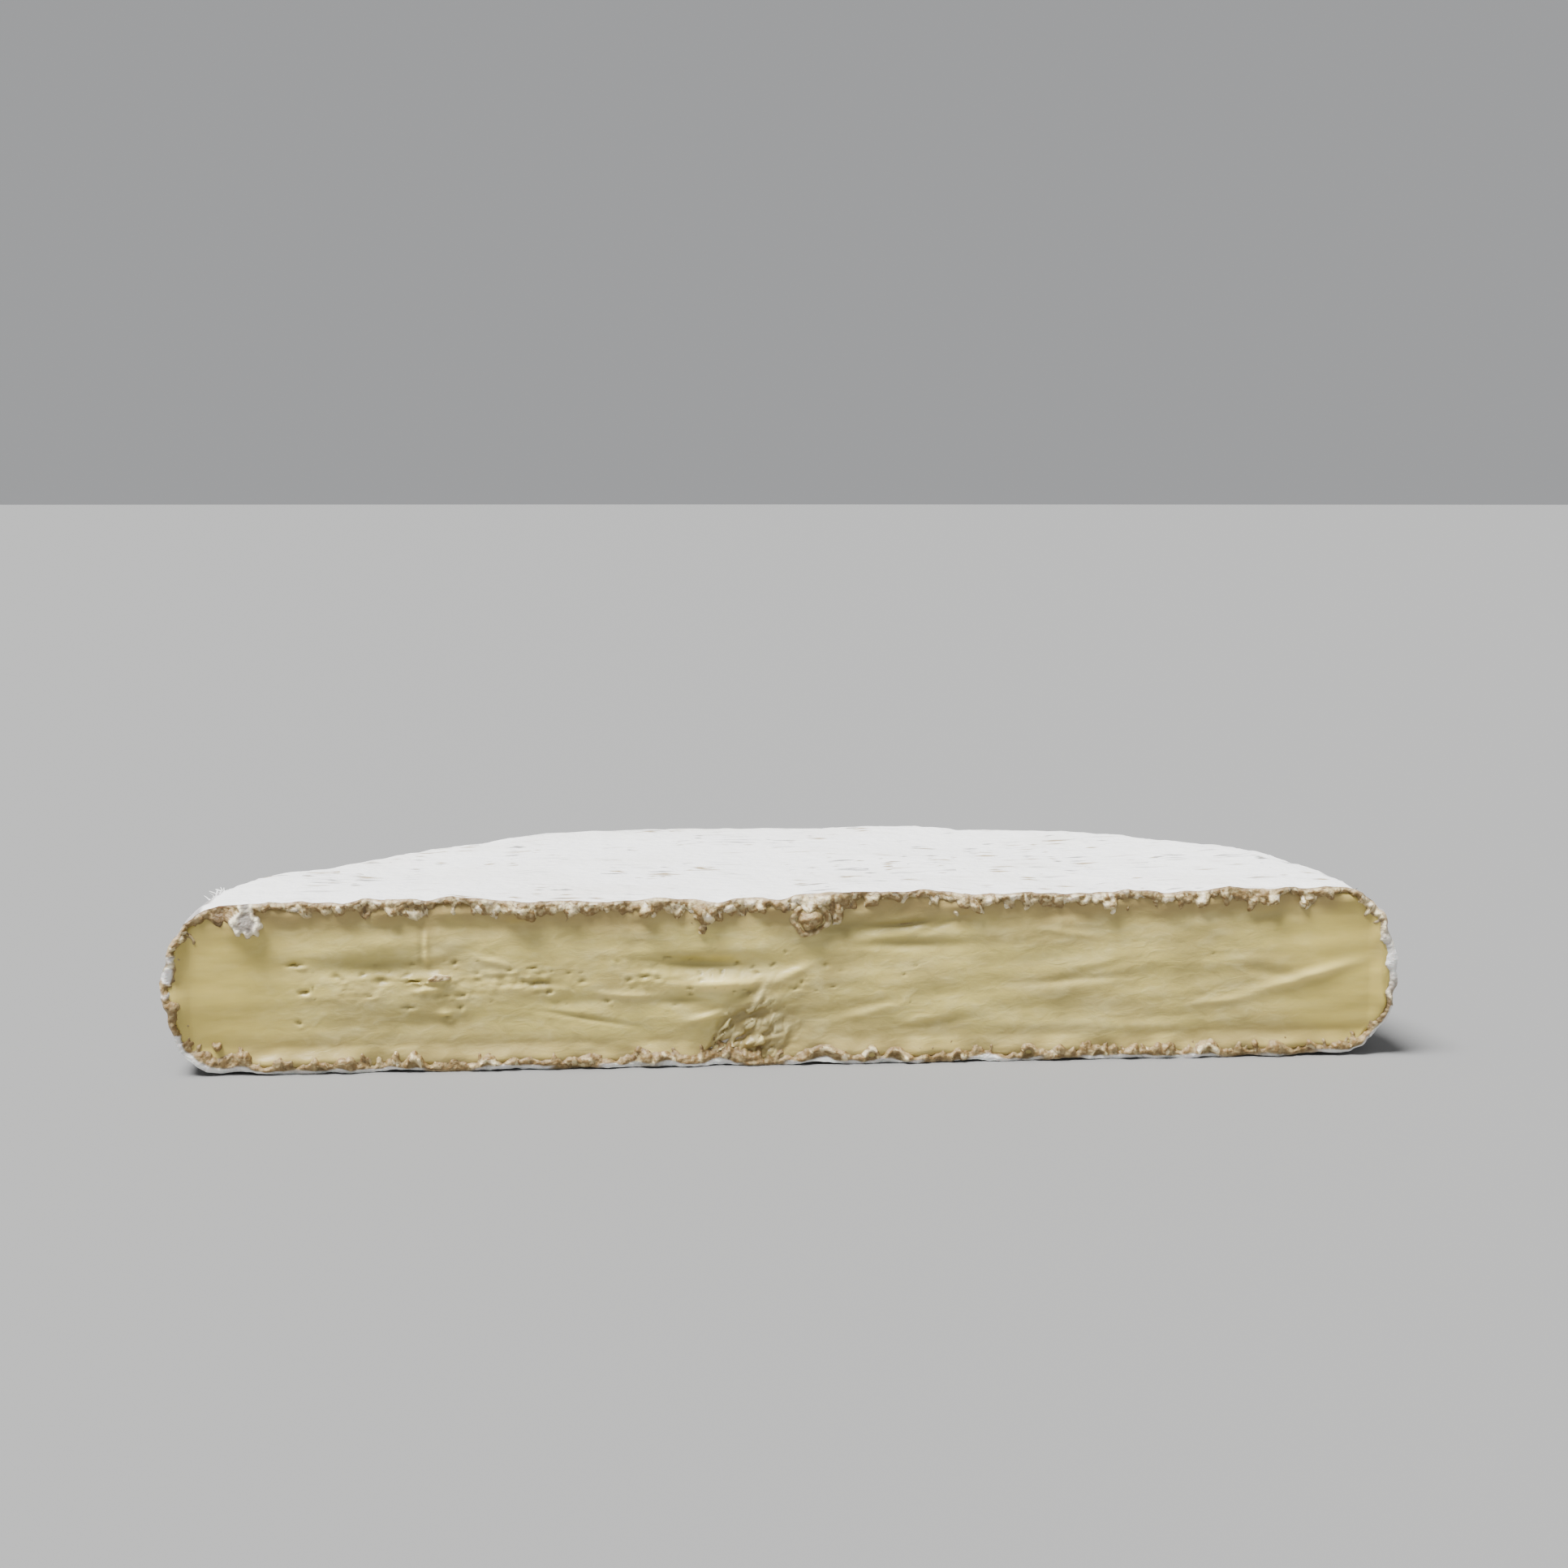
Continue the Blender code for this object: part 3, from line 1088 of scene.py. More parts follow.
    def raise_skin(self, points: Array, quads: Array, side: Array, edge: Array, wrapped: Array) -> Array:
        """Give the smooth skin its down, felt marks and folds.

        Args:
            points: the settled points.
            quads: the point numbers of the faces between them.
            side: how far out on the rounded rim each point is.
            edge: the numbers of the points along the cut.
            wrapped: each point's place round the rim and down it.

        Returns:
            The raised points.
        """
        normals = point_normals(points, quads)
        middle = np.array((0.0, self.form.radius / 4.0, self.form.middle_height))
        facing = np.sum(normals * (points - middle), axis=1)
        normals *= np.where(facing < 0.0, -1.0, 1.0)[:, None]
        normals[edge] *= np.array((1.0, 0.0, 1.0))
        down = self.down_relief * fractal_at(points, self.down_length, 4, 31.0)
        down += self.swell_relief * noise_at(points, self.swell_length, 37.0)
        felt = self.felt_relief * noise_at(points, self.felt_length, 47.0)
        bend = noise_at(wrapped, self.fold_bend_length, 49.0)[:, None] * np.array(self.fold_bend)
        fold = fractal_at((wrapped + bend) * np.array(self.fold_stretch), self.fold_length, 4, 53.0)
        fold = self.fold_relief * (self.fold_level - np.abs(fold)) * smooth_step(side, *self.fold_start)
        resting = smooth_step(points[:, 2], 0.0, self.resting_height)
        return points + normals * ((down + felt * (1.0 - side) + fold) * resting)[:, None]

    def set_cut(self, points: Array, edge: Array) -> Array:
        """Bring the skin's edge onto the relief of the cut face.

        Args:
            points: the raised points.
            edge: the numbers of the points along the cut.

        Returns:
            The points, moved near the cut.
        """
        relief = self.form.cut_relief(points[:, 0], points[:, 2])
        behind = np.maximum(0.0, points[:, 1] + self.form.cut_ahead)
        moved = points.copy()
        moved[:, 1] -= relief * bell(behind, 0.0, self.cut_fade)
        moved[edge, 1] = -self.form.cut_ahead - relief[edge]
        return moved

    def closing(self, edge: Array, outline: CutOutline) -> Array:
        """Rows of points that close the skin behind the torn edge.

        Args:
            edge: the points of the skin along the cut.
            outline: the outline of the cut.

        Returns:
            The points, by row and place along the edge.
        """
        flat = edge[:, (0, 2)]
        rows = []
        for depth, sink in zip(self.closing_depths, self.closing_sinks):
            place = flat + outline.inward(flat) * depth
            rows.append(standing(*place.T, edge[:, 1] + sink))
        return np.stack(rows)

    def map_for_bake(self, piece: Piece, points: Array, run: Array, charts: list[Chart]) -> None:
        """Lay the faces flat, each chart in its own place, for the bake.

        Args:
            piece: the skin.
            points: its points before they were shifted.
            run: how far down the rim's section each is.
            charts: the chart of each face.
        """
        corners, totals = corners_of(piece.data)
        numbers = {chart: number for number, chart in enumerate(Chart)}
        of_corner = np.repeat(np.array([numbers[chart] for chart in charts]), totals)
        x, y, z = points[corners].T
        flat = {
            Chart.RIM: (self.around(x, y), run[corners]),
            Chart.TOP: (x, y + self.bake_front),
            Chart.BASE: (x, y + self.bake_front),
            Chart.HIDDEN: (x * self.hidden_scale, z * self.hidden_scale),
        }
        places = np.zeros((len(corners), 2))
        for chart, chart_places in flat.items():
            mine = of_corner == numbers[chart]
            places[mine] = np.stack(chart_places, axis=1)[mine] + np.array(chart.value)
        set_bake_map(piece.data, places / self.bake_side)


@dataclass
class TornEdge(Part):
    """The torn, crumbly thickness of the rind all round the cut."""

    step: float = 0.00020
    first_row: float = 0.00012
    last_row: float = 0.00034
    growth: float = 1.14
    reach: float = 0.0066
    overhang: float = 0.00022
    overhang_depth: float = 0.0012
    bend: float = 0.0009
    bend_length: float = 0.0026
    lump_size: float = 0.0025
    crumb_size: float = 0.0011
    lump_height: float = 0.0018
    crumb_height: float = 0.00062
    gap_depth: float = 0.00065
    strip_share: float = 0.62
    strip_height: float = 0.00012
    stray_reach: float = 0.0012
    stray_share: float = 0.72
    covered: float = 0.0012
    covered_height: float = 0.00010
    sink: float = 0.0011
    back: float = 0.0012
    back_inset: float = 0.0012
    blur: int = 4
    top_width: float = 0.0028
    base_width: float = 0.0023
    end_width: float = 0.0017
    least_width: float = 0.0007
    end_part: Pair = (0.0120, 0.0050)
    lump_spread: float = 0.0008
    first_tone: float = 0.17
    lump_tone: float = 0.42
    crumb_tone: float = 0.45
    place_tone: float = 0.25
    # Painted shade on the base band of the torn rind
    base_painted_shade: float = 0.46
    # Painted shade in the hollow beside the flap
    hollow_shade_at: Pair = (-0.1094, 0.0024)
    hollow_shade_above: float = 0.0270
    hollow_shade_strength: float = 1.25
    hollow_shade_start: Pair = (0.0002, 0.0007)
    hollow_darker: float = 0.80
    hollow_dark_at: Pair = (-0.1095, 0.0034)
    end_darker: float = 0.25
    end_dark_at: Pair = (0.1060, 0.1090)
    inner_darker: float = 0.30
    inner_dark_at: Pair = (0.45, 1.05)
    crack_at: Pair = (0.02, 0.70)
    skin_height: float = 0.0003
    line_at: Pair = (0.00015, 0.00050)
    flap_at: Pair = (-0.1045, 0.0293)
    flap_half: Pair = (0.0031, 0.0030)
    flap_height: float = 0.0005
    flap_curl: float = 0.0010
    flap_edge: Pair = (0.88, 1.06)
    flap_curl_at: Pair = (0.72, 0.24)
    flap_narrowing: float = 0.38
    flap_notch: Trio = (0.30, -0.0006, 0.0006)
    arch_height: float = 0.0014
    arch_sink: float = 0.0003
    bake_lengths: int = 8
    wide_places: tuple[Row, ...] = (
        (-0.1110, 0.0, 0.0021, 0.0060),
        (-0.1085, 1.0, 0.0012, 0.0030),
        (-0.0870, 1.0, 0.0012, 0.0040),
        (-0.0524, 1.0, 0.0016, 0.0030),
        (-0.0173, 1.0, 0.0030, 0.0016),
        (-0.0010, 1.0, 0.0022, 0.0022),
        (0.0050, 1.0, 0.0014, 0.0030),
        (-0.0280, 0.0, 0.0016, 0.0050),
        (-0.0120, 0.0, 0.0022, 0.0060),
        (0.0900, 1.0, 0.0014, 0.0040),
        (0.0700, 0.0, 0.0010, 0.0050),
    )
    arches: tuple[Row, ...] = (
        (-0.0905, 0.0012, 0.0018),
        (-0.0730, 0.0016, 0.0030),
        (-0.0590, 0.0013, 0.0022),
        (-0.0250, 0.0020, 0.0026),
        (0.0065, 0.0048, 0.0030),
        (0.0158, 0.0015, 0.0031),
        (0.0207, 0.0021, 0.0027),
        (0.0330, 0.0016, 0.0024),
        (0.0470, 0.0019, 0.0028),
        (0.0610, 0.0014, 0.0022),
        (0.0830, 0.0021, 0.0027),
    )

    def width_at(self, x: Array, z: Array) -> Array:
        """How wide the torn rind is.

        Args:
            x: places along the cut.
            z: their heights.

        Returns:
            The width at each place.
        """
        places = standing(x, z)
        on_top = (z > self.form.middle_height).astype(float)
        end_share = smooth_step(np.abs(x) - self.form.radius, -self.end_part[0], -self.end_part[1])
        width = self.base_width + (self.top_width - self.base_width) * on_top
        width += (self.end_width - width) * end_share
        width += 0.0009 * noise_at(places, 0.0085, 101.0) + 0.0005 * noise_at(places, 0.0032, 103.0)
        for middle, side, extra, spread in self.wide_places:
            width += extra * bell(x, middle, spread) * (on_top == side)
        return np.maximum(width, self.least_width)

    def skin_at(self, x: Array, z: Array, depth: Array) -> Array:
        """Where the white outer skin has been dragged over the edge onto the cut.

        Args:
            x: places along the cut.
            z: their heights.
            depth: how far inside the outline each is.

        Returns:
            The share of each place that it covers.
        """
        places = standing(x, z)
        near = -(depth + 0.0006 * fractal_at(places, 0.0040, 2, 107.0))
        patchy = smooth_step(noise_at(places, 0.0026, 105.0), -0.30, 0.05)
        broken = smooth_step(noise_at(places, 0.012, 109.0), -0.25, 0.0)
        left = patchy * smooth_step(bell(z, 0.0194, 0.0045), 0.35, 0.60) * (x < -0.1100)
        corner = smooth_step(-x, 0.1035, 0.1050) * (z < 0.0080)
        right = bell(z, 0.0190, 0.0060) * (x > 0.1130)
        skin = left * smooth_step(near, -0.0025, -0.0019)
        skin += corner * smooth_step(near, -0.0013, -0.0008)
        skin += broken * (z < 0.0100) * smooth_step(near, -0.0008, -0.0005)
        skin += right * smooth_step(near, -0.0024, -0.0018)
        return np.clip(skin, 0.0, 1.0)

    def flap_at_places(self, places: Array) -> tuple[Array, Array]:
        """The torn flap of rind that hangs over the cut near its left end.

        Args:
            places: places on the cut.

        Returns:
            The share of each place that it covers, and how far that is from its middle.
        """
        beside = places[:, 0] - self.flap_at[0]
        above = places[:, 2] - self.flap_at[1]
        narrow = 1.0 - self.flap_narrowing * smooth_step(above, 0.0, 0.0026)
        away = np.hypot(beside / (self.flap_half[0] * narrow), np.minimum(above, 0.0) / self.flap_half[1])
        notch, *notch_at = self.flap_notch
        away += notch * bell(beside, *notch_at) * smooth_step(-above, 0.0004, 0.0020)
        away += 0.55 * noise_at(places, 0.0028, 131.0) + 0.40 * noise_at(places, 0.0012, 133.0)
        return 1.0 - smooth_step(away, *self.flap_edge), away

    def lumps(self, flat: Array, depth: Array, way: Array) -> tuple[Array, dict[str, Array]]:
        """How proud of the paste the torn rind stands, and its tones.

        Args:
            flat: X and Z of the places.
            depth: how far inside the outline each is.
            way: the direction inwards at each.

        Returns:
            The height at each place, and the named numbers that the finish reads.
        """
        x, z = flat.T
        places, inwards = standing(x, z), standing(*way.T)
        bend = pushes_at(places, self.bend_length, (111.0, 113.0, 117.0))
        bent = places + self.bend * bend
        lump, lump_middle, lump_number = cells_at(bent, self.lump_size, 3.0)
        crumb, crumb_middle, crumb_number = cells_at(bent, self.crumb_size, 5.0)
        lump_depth = depth + np.sum((lump_middle - bent) * inwards, axis=1)
        crumb_depth = depth + np.sum((crumb_middle - bent) * inwards, axis=1)
        lump_width = self.width_at(lump_middle[:, 0], lump_middle[:, 2])
        lump_width += self.lump_spread * (lump_number - 0.5)
        crumb_width = self.width_at(crumb_middle[:, 0], crumb_middle[:, 2])

        # Lumps, a strip of crumbs along the outline, strays further in, and a covering at the outline
        small = self.crumb_height * crumb ** 0.6
        big = self.lump_height * (0.65 + 0.35 * lump_number) * lump ** 0.5 - self.gap_depth + small
        height = np.where(lump_depth < lump_width, big, -self.sink)
        in_strip = crumb_depth < self.strip_share * crumb_width
        strip = np.where(in_strip, self.strip_height + 1.2 * small, -self.sink)
        stray = (crumb_depth < crumb_width + self.stray_reach) & (crumb_number > self.stray_share)
        strip = np.where(stray, np.maximum(strip, small - 0.0001), strip)
        height = np.maximum(height, strip)
        covering = np.maximum(height, self.covered_height + 0.6 * small)
        height = np.where(depth < self.covered, covering, height)

        # Paler on top with the base band darker as painted shade, browner round the hollow beside the flap,
        # and dark in the cracks and the hollow as painted shade
        tone = self.first_tone + self.lump_tone * lump_number + self.crumb_tone * crumb_number
        tone += self.place_tone * noise_at(places, 0.007, 119.0)
        # The base band is painted darker as shade
        tone -= self.base_painted_shade * (z < self.form.middle_height)
        tone -= self.hollow_darker * bell(x, *self.hollow_dark_at)
        tone -= self.end_darker * smooth_step(-x, *self.end_dark_at)
        tone -= self.inner_darker * smooth_step(depth / self.width_at(x, z), *self.inner_dark_at)
        # The crease carries painted shade in the cracks between crumbs and in the hollow beside the flap
        crease = 1.0 - smooth_step(np.minimum(lump * 1.1, crumb * 1.5), *self.crack_at)
        hollow = self.hollow_shade_strength * bell(x, *self.hollow_shade_at) * (z > self.hollow_shade_above)
        hollow = hollow * smooth_step(depth, *self.hollow_shade_start)
        crease = np.clip(np.maximum(crease, hollow + 0.15 * bend[:, 1]), 0.0, 1.0)

        # Arches, white skin and the flap over them
        height, tone, crease = self.set_arches(places, height, tone, crease)
        skin = self.skin_at(x, z, depth)
        crease *= 1.0 - skin
        flap, away = self.flap_at_places(places)
        curled = bell(away, *self.flap_curl_at)
        height = blend(height, self.flap_height + self.flap_curl * curled + 0.5 * small, flap)
        tone = blend(tone, 0.22 + 0.26 * curled, flap)
        # The flap's middle is greyed as painted shade
        crease = blend(crease, 1.0 - smooth_step(away, 0.25, 0.70), flap)
        skin = np.maximum(skin, flap * (0.72 - 0.42 * curled))
        height = height * (1.0 - 0.7 * skin) + self.skin_height * skin
        height *= 0.35 + 0.65 * smooth_step(depth, 0.0, 0.0006)
        line = (1.0 - flap) * (1.0 - smooth_step(depth + 0.0002 * bend[:, 0], *self.line_at))
        return height, {"tone": np.clip(tone, 0.0, 1.0), "crease": crease, "skin": skin, "line": line}

    def set_arches(self, places: Array, height: Array, tone: Array, crease: Array) -> tuple[Array, ...]:
        """Stand small arches of rolled rind along the base.

        Args:
            places: places on the cut.
            height: how proud each stands.
            tone: how pale each is.
            crease: how dark a crack each is, as painted shade.

        Returns:
            The height, tone and crease with the arches.
        """
        x = places[:, 0] + 0.0006 * noise_at(places, 0.0022, 123.0)
        z = places[:, 2] + 0.0006 * noise_at(places, 0.0022, 127.0)
        for middle, half, tall in self.arches:
            near = (np.abs(x - middle) < half * 1.6) & (z < tall * 1.7)
            spread = np.sqrt(((x - middle) / half) ** 2 + (z / tall) ** 2)
            ridge = bell(spread, 1.0, 0.22) * near
            hollow = (1.0 - smooth_step(spread, 0.55, 0.85)) * near
            stood = np.maximum(height * (1.0 - hollow), ridge * self.arch_height - self.arch_sink)
            height = np.where(ridge + hollow > 0.05, stood - self.arch_sink * hollow, height)
            tone = blend(blend(tone, 0.45 + 0.6 * tone, ridge), 0.10, hollow)
            crease = crease * (1.0 - ridge)
        return height, tone, crease

    def build(self, outline: CutOutline, material: Material) -> Piece:
        """Build the edge as one closed strip.

        Args:
            outline: the outline of the cut.
            material: its finish.

        Returns:
            The piece.
        """
        columns = int(outline.length / self.step)
        start = outline.at(np.arange(columns) * outline.length / columns)
        way = outline.inward(start)
        rows = graded_steps(self.reach, self.first_row, self.last_row, self.growth)
        ragged = self.overhang * noise_at(standing(*start.T), 0.0016, 121.0)
        outward = np.maximum(ragged, -0.3 * self.overhang)
        front = []
        for depth in rows:
            out = outward * (1.0 - smooth_step(np.full(columns, depth), 0.0, self.overhang_depth))
            front.append(start + way * (depth - out)[:, None])
        flat = np.concatenate(front)
        height, values = self.lumps(flat, np.repeat(rows, columns), np.tile(way, (len(rows), 1)))
        height = softened(height.reshape(len(rows), columns), self.blur).ravel()
        back_y = self.back - self.form.cut_ahead
        points = np.concatenate((
            standing(*(start + way * self.back_inset).T, back_y),
            self.proud_of_cut(*flat.T, self.form.cut_relief(*flat.T) + height),
            standing(*(start + way * self.reach).T, back_y),
        ))
        points[:, 2] = np.maximum(points[:, 2], 0.0)
        index = np.arange(len(points)).reshape(-1, columns)
        faces = grid_faces(np.concatenate((index, index[:1])), closed=True).tolist()
        values = {key: np.concatenate((numbers[:columns], numbers)) for key, numbers in values.items()}
        piece = self.make("torn_edge", points, faces, material, values)
        self.map_for_bake(piece, columns, len(rows))
        return piece

    def map_for_bake(self, piece: Piece, columns: int, rows: int) -> None:
        """Lay the strip out in short lengths, one above the other, for the bake.

        Args:
            piece: the strip.
            columns: how many columns of points it has.
            rows: how many rows its front has.
        """
        per_length = math.ceil(columns / self.bake_lengths)
        corners, totals = corners_of(piece.data)
        of_face = np.repeat(np.arange(len(totals)), totals)
        column = of_face % columns
        across = (corners % columns - column) % columns + column % per_length
        corner_row = corners // columns
        last_row = (of_face // columns == rows + 1) & (corner_row == 0)
        up = np.where(last_row, rows + 2, corner_row)
        u = (across + 1.0) / (per_length + 2.0)
        v = (column // per_length + (up + 0.5) / (rows + 3.0)) / self.bake_lengths
        set_bake_map(piece.data, np.stack((u, v), axis=1))


@dataclass
class Paste(Part):
    """The paste that the knife laid bare, a thick slab set into the rind."""

    inset: float = 0.0008
    inset_wave: float = 0.0002
    first_step: float = 0.00006
    last_step: float = 0.00042
    growth: float = 1.18
    rows: int = 92
    torn_zone: Pair = (-0.0190, 0.0040)
    torn_from: Pair = (-0.0180, 0.0005)
    torn_angles: Pair = (14.0, 54.0)
    torn_reach: float = 0.0260
    torn_slope: float = 38.0
    torn_ridge: float = 11.0
    torn_lump: float = 0.0013
    torn_height: float = 0.0009
    torn_crumb: float = 0.0010
    thickness: float = 0.0060
    back_taper: float = 0.0026
    border_sink: float = 0.0006
    border_width: float = 0.0009
    streak: float = 0.00020
    fine_streak: float = 0.00002
    seed: int = 11
    smear_relief: float = 1.5
    smear_tone: float = 1400.0
    scattered_smears: int = 26
    scattered_pits: int = 90
    pit_rag: float = 0.00055
    pit_rag_length: float = 0.0011
    crumbled_tone: float = 1300.0
    step_height: float = 0.00045
    step_rise: Pair = (0.0200, 0.0220)
    step_fall: Pair = (0.0260, 0.0285)
    step_at: Pair = (-0.0705, 0.0005)
    step_shade_at: Pair = (-0.0716, 0.0006)
    # Brown beside the rind and round the hollow by the flap: partly a stain, partly painted shade
    hollow_stain_and_shade: Row = (-0.1090, 0.0306, 0.0026, 0.0016, 0.7)
    deepest_tone: float = 0.85
    stain_and_shade_depth: Pair = (0.0022, 0.0078)
    stain_and_shade_rag: float = 0.0009
    stain_and_shade_height: Pair = (0.012, 0.022)
    stain_and_shade_end: Pair = (0.0150, 0.0060)
    gold_end: Pair = (0.0340, 0.0100)
    pit_x: Row = (-0.035, 0.045, -0.092, 0.100)
    pit_z: Pair = (0.0170, 0.0030)
    pit_size: Pair = (0.00012, 0.00040)
    smear_x: Pair = (0.005, 0.108)
    smear_z: Pair = (0.004, 0.029)
    smear_length: Pair = (0.004, 0.011)
    smear_height: Pair = (0.0006, 0.0013)
    smear_slope: Pair = (4.0, 10.0)
    smear_proud: float = 0.00026
    crumbled: tuple[Row, ...] = (
        (-0.0680, 0.0168, 0.0200, 0.0028, 0.00055),
        (-0.0360, 0.0185, 0.0140, 0.0026, 0.000385),
    )
    pits: tuple[Row, ...] = (
        (-0.0955, 0.0212, 0.0013, 0.0004, 0.0008),
        (-0.0938, 0.0158, 0.0007, 0.0004, 0.0009),
        (-0.0948, 0.0098, 0.0005, 0.0004, 0.0006),
        (-0.0828, 0.0190, 0.0006, 0.0003, 0.0005),
        (-0.0790, 0.0178, 0.0015, 0.0005, 0.0006),
        (-0.0650, 0.0211, 0.0005, 0.0004, 0.0006),
        (-0.0545, 0.0196, 0.0006, 0.0003, 0.0005),
        (-0.0500, 0.0199, 0.0007, 0.0003, 0.0006),
        (-0.0470, 0.0153, 0.0006, 0.0004, 0.0008),
        (-0.0640, 0.0124, 0.0005, 0.0004, 0.0006),
        (-0.0665, 0.0106, 0.0005, 0.0004, 0.0006),
        (-0.0730, 0.0177, 0.0020, 0.0002, 0.0009),
    )
    smears: tuple[Row, ...] = (
        (-0.0790, 0.0205, 0.0130, 0.0017, 1.0, -0.00050),
        (-0.0780, 0.0183, 0.0110, 0.0008, 1.0, 0.00012),
        (-0.0700, 0.0095, 0.0080, 0.0013, 2.0, -0.00022),
        (-0.0780, 0.0252, 0.0110, 0.0016, 1.0, 0.00020),
        (-0.0690, 0.0224, 0.0030, 0.0013, 8.0, 0.00022),
        (-0.0560, 0.0262, 0.0080, 0.0014, 18.0, 0.00018),
        (-0.0620, 0.0240, 0.0070, 0.0010, 22.0, -0.00012),
        (-0.0490, 0.0170, 0.0034, 0.0006, -4.0, -0.00045),
        (-0.0668, 0.0114, 0.0014, 0.0007, 0.0, 0.00045),
        (-0.0700, 0.0160, 0.0034, 0.0006, 8.0, 0.00035),
        (-0.0580, 0.0214, 0.0030, 0.0006, -14.0, 0.00025),
        (-0.0315, 0.0143, 0.0050, 0.0006, -3.0, 0.00030),
        (-0.0400, 0.0100, 0.0080, 0.0005, -10.0, -0.00032),
        (-0.0180, 0.0200, 0.0085, 0.0016, -2.0, -0.00050),
        (-0.0120, 0.0164, 0.0070, 0.0013, 2.0, 0.00080),
        (-0.0210, 0.0130, 0.0050, 0.0010, -2.0, -0.00045),
        (0.0010, 0.0186, 0.0034, 0.0009, 22.0, 0.00045),
        (-0.0160, 0.0100, 0.0036, 0.0007, 14.0, 0.00055),
        (-0.0050, 0.0085, 0.0028, 0.0012, 60.0, 0.00045),
        (-0.0085, 0.0142, 0.0050, 0.0010, 30.0, -0.00030),
        (-0.0065, 0.0048, 0.0055, 0.0006, 12.0, 0.00050),
        (-0.0060, 0.0032, 0.0055, 0.0005, 8.0, -0.00050),
    )

    def all_pits(self) -> list[Row]:
        """Pits of the paste, the placed ones and the scattered ones.

        Returns:
            Place along the cut, height, half length, half height and depth of each.
        """
        draw = np.random.default_rng(self.seed)
        pits = list(self.pits)
        for _ in range(self.scattered_pits):
            x = np.clip(draw.normal(*self.pit_x[:2]), *self.pit_x[2:])
            z = self.pit_z[0] + draw.normal(0.0, self.pit_z[1])
            size = self.pit_size[0] + self.pit_size[1] * draw.uniform(0.0, 1.0) ** 2.0
            pits.append((x, z, size * draw.uniform(1.0, 2.4), size * 0.8, size * 0.9))
        return pits

    def all_smears(self) -> list[Row]:
        """Knife smears, the placed ones and the scattered ones.

        Returns:
            Place along the cut, height, half length, half height, slope and relief of each.
        """
        draw = np.random.default_rng(self.seed + 1)
        smears = list(self.smears)
        for _ in range(self.scattered_smears):
            place = (draw.uniform(*self.smear_x), draw.uniform(*self.smear_z))
            size = (draw.uniform(*self.smear_length), draw.uniform(*self.smear_height))
            slope = draw.normal(*self.smear_slope)
            smears.append((*place, *size, slope, draw.normal(0.0, self.smear_proud)))
        return smears

    def build(self, outline: CutOutline, material: Material) -> Piece:
        """Build the slab and its relief.

        Args:
            outline: the outline of the cut.
            material: its finish.

        Returns:
            The piece.
        """
        # A grid between the upper and the lower border, closer where the paste is torn
        flat = outline.loop
        inset = self.inset + self.inset_wave * noise_at(standing(*flat.T), 0.004, 71.0)
        border = flat + outline.inward(flat) * inset[:, None]
        left, right = int(np.argmin(border[:, 0])), int(np.argmax(border[:, 0]))
        around = np.roll(border, -left, axis=0)
        turn = (right - left) % len(border)
        upper = around[:turn + 1]
        lower = np.concatenate((around[turn:], around[:1]))
        ends = (border[left, 0] + self.first_step / 2.0, border[right, 0] - self.first_step / 2.0)
        half = graded_steps((ends[1] - ends[0]) / 2.0, self.first_step, self.last_step, self.growth)
        x = np.concatenate((ends[0] + half, (ends[1] - half[::-1])[1:]))
        torn_part = (x[:-1] > self.torn_zone[0]) & (x[:-1] < self.torn_zone[1])
        x = np.sort(np.concatenate((x, (x[:-1] + np.diff(x) / 2.0)[torn_part])))
        high = np.interp(x, *upper[np.argsort(upper[:, 0])].T)
        low = np.interp(x, *lower[np.argsort(lower[:, 0])].T)
        z = low[None, :] + (high - low)[None, :] * np.linspace(0.0, 1.0, self.rows + 1)[:, None]
        index = np.arange(z.size).reshape(z.shape)
        x, z = np.tile(x, self.rows + 1), z.ravel()

        # The front's relief, and a back that tapers inwards
        relief, values = self.relief(x, z, outline)
        front = self.proud_of_cut(x, z, relief)
        rim = np.concatenate((index[0], index[1:, -1], index[-1, -2::-1], index[-2:0:-1, 0]))
        back = front[rim]
        back[:, (0, 2)] += outline.inward(back[:, (0, 2)]) * self.back_taper
        back[:, 1] = self.thickness - self.form.cut_ahead
        back_index = len(front) + np.arange(len(rim))
        wall = grid_faces(np.stack((rim, back_index)), closed=True)
        faces = grid_faces(index).tolist() + wall.tolist() + [back_index.tolist()]
        points = np.concatenate((front, back))
        piece = self.make("paste", points, faces, material, values)
        self.map_for_bake(piece, points)
        return piece

    def relief(self, x: Array, z: Array, outline: CutOutline) -> tuple[Array, dict[str, Array]]:
        """How proud each place stands, and the tones that go with it.

        Args:
            x: places along the cut.
            z: their heights.
            outline: the outline of the cut.

        Returns:
            The relief, and the named numbers that the finish reads.
        """
        places = standing(x, z)
        depth = outline.depth(x, z)
        relief = self.form.cut_relief(x, z)
        relief += self.streak * noise_at(places, (0.015, 0.01, 0.0030), 81.0)
        relief += self.fine_streak * noise_at(places, (0.005, 0.01, 0.0011), 83.0)
        torn_height, torn, torn_tone = self.torn_paste(places)
        relief += torn_height
        light, dark = np.zeros_like(x), np.zeros_like(x)

        # Knife smears, paler where they stand proud and darker where they sink: partly the smeared paste's
        # colour, partly painted highlight and shade
        for middle, height, long, wide, slope, proud in self.all_smears():
            share = hump(*turned(x - middle, z - height, slope), (0.0, 0.0, long, wide))
            relief += self.smear_relief * proud * share
            light += self.smear_tone * share * max(0.0, proud)
            dark += self.smear_tone * share * max(0.0, -proud)

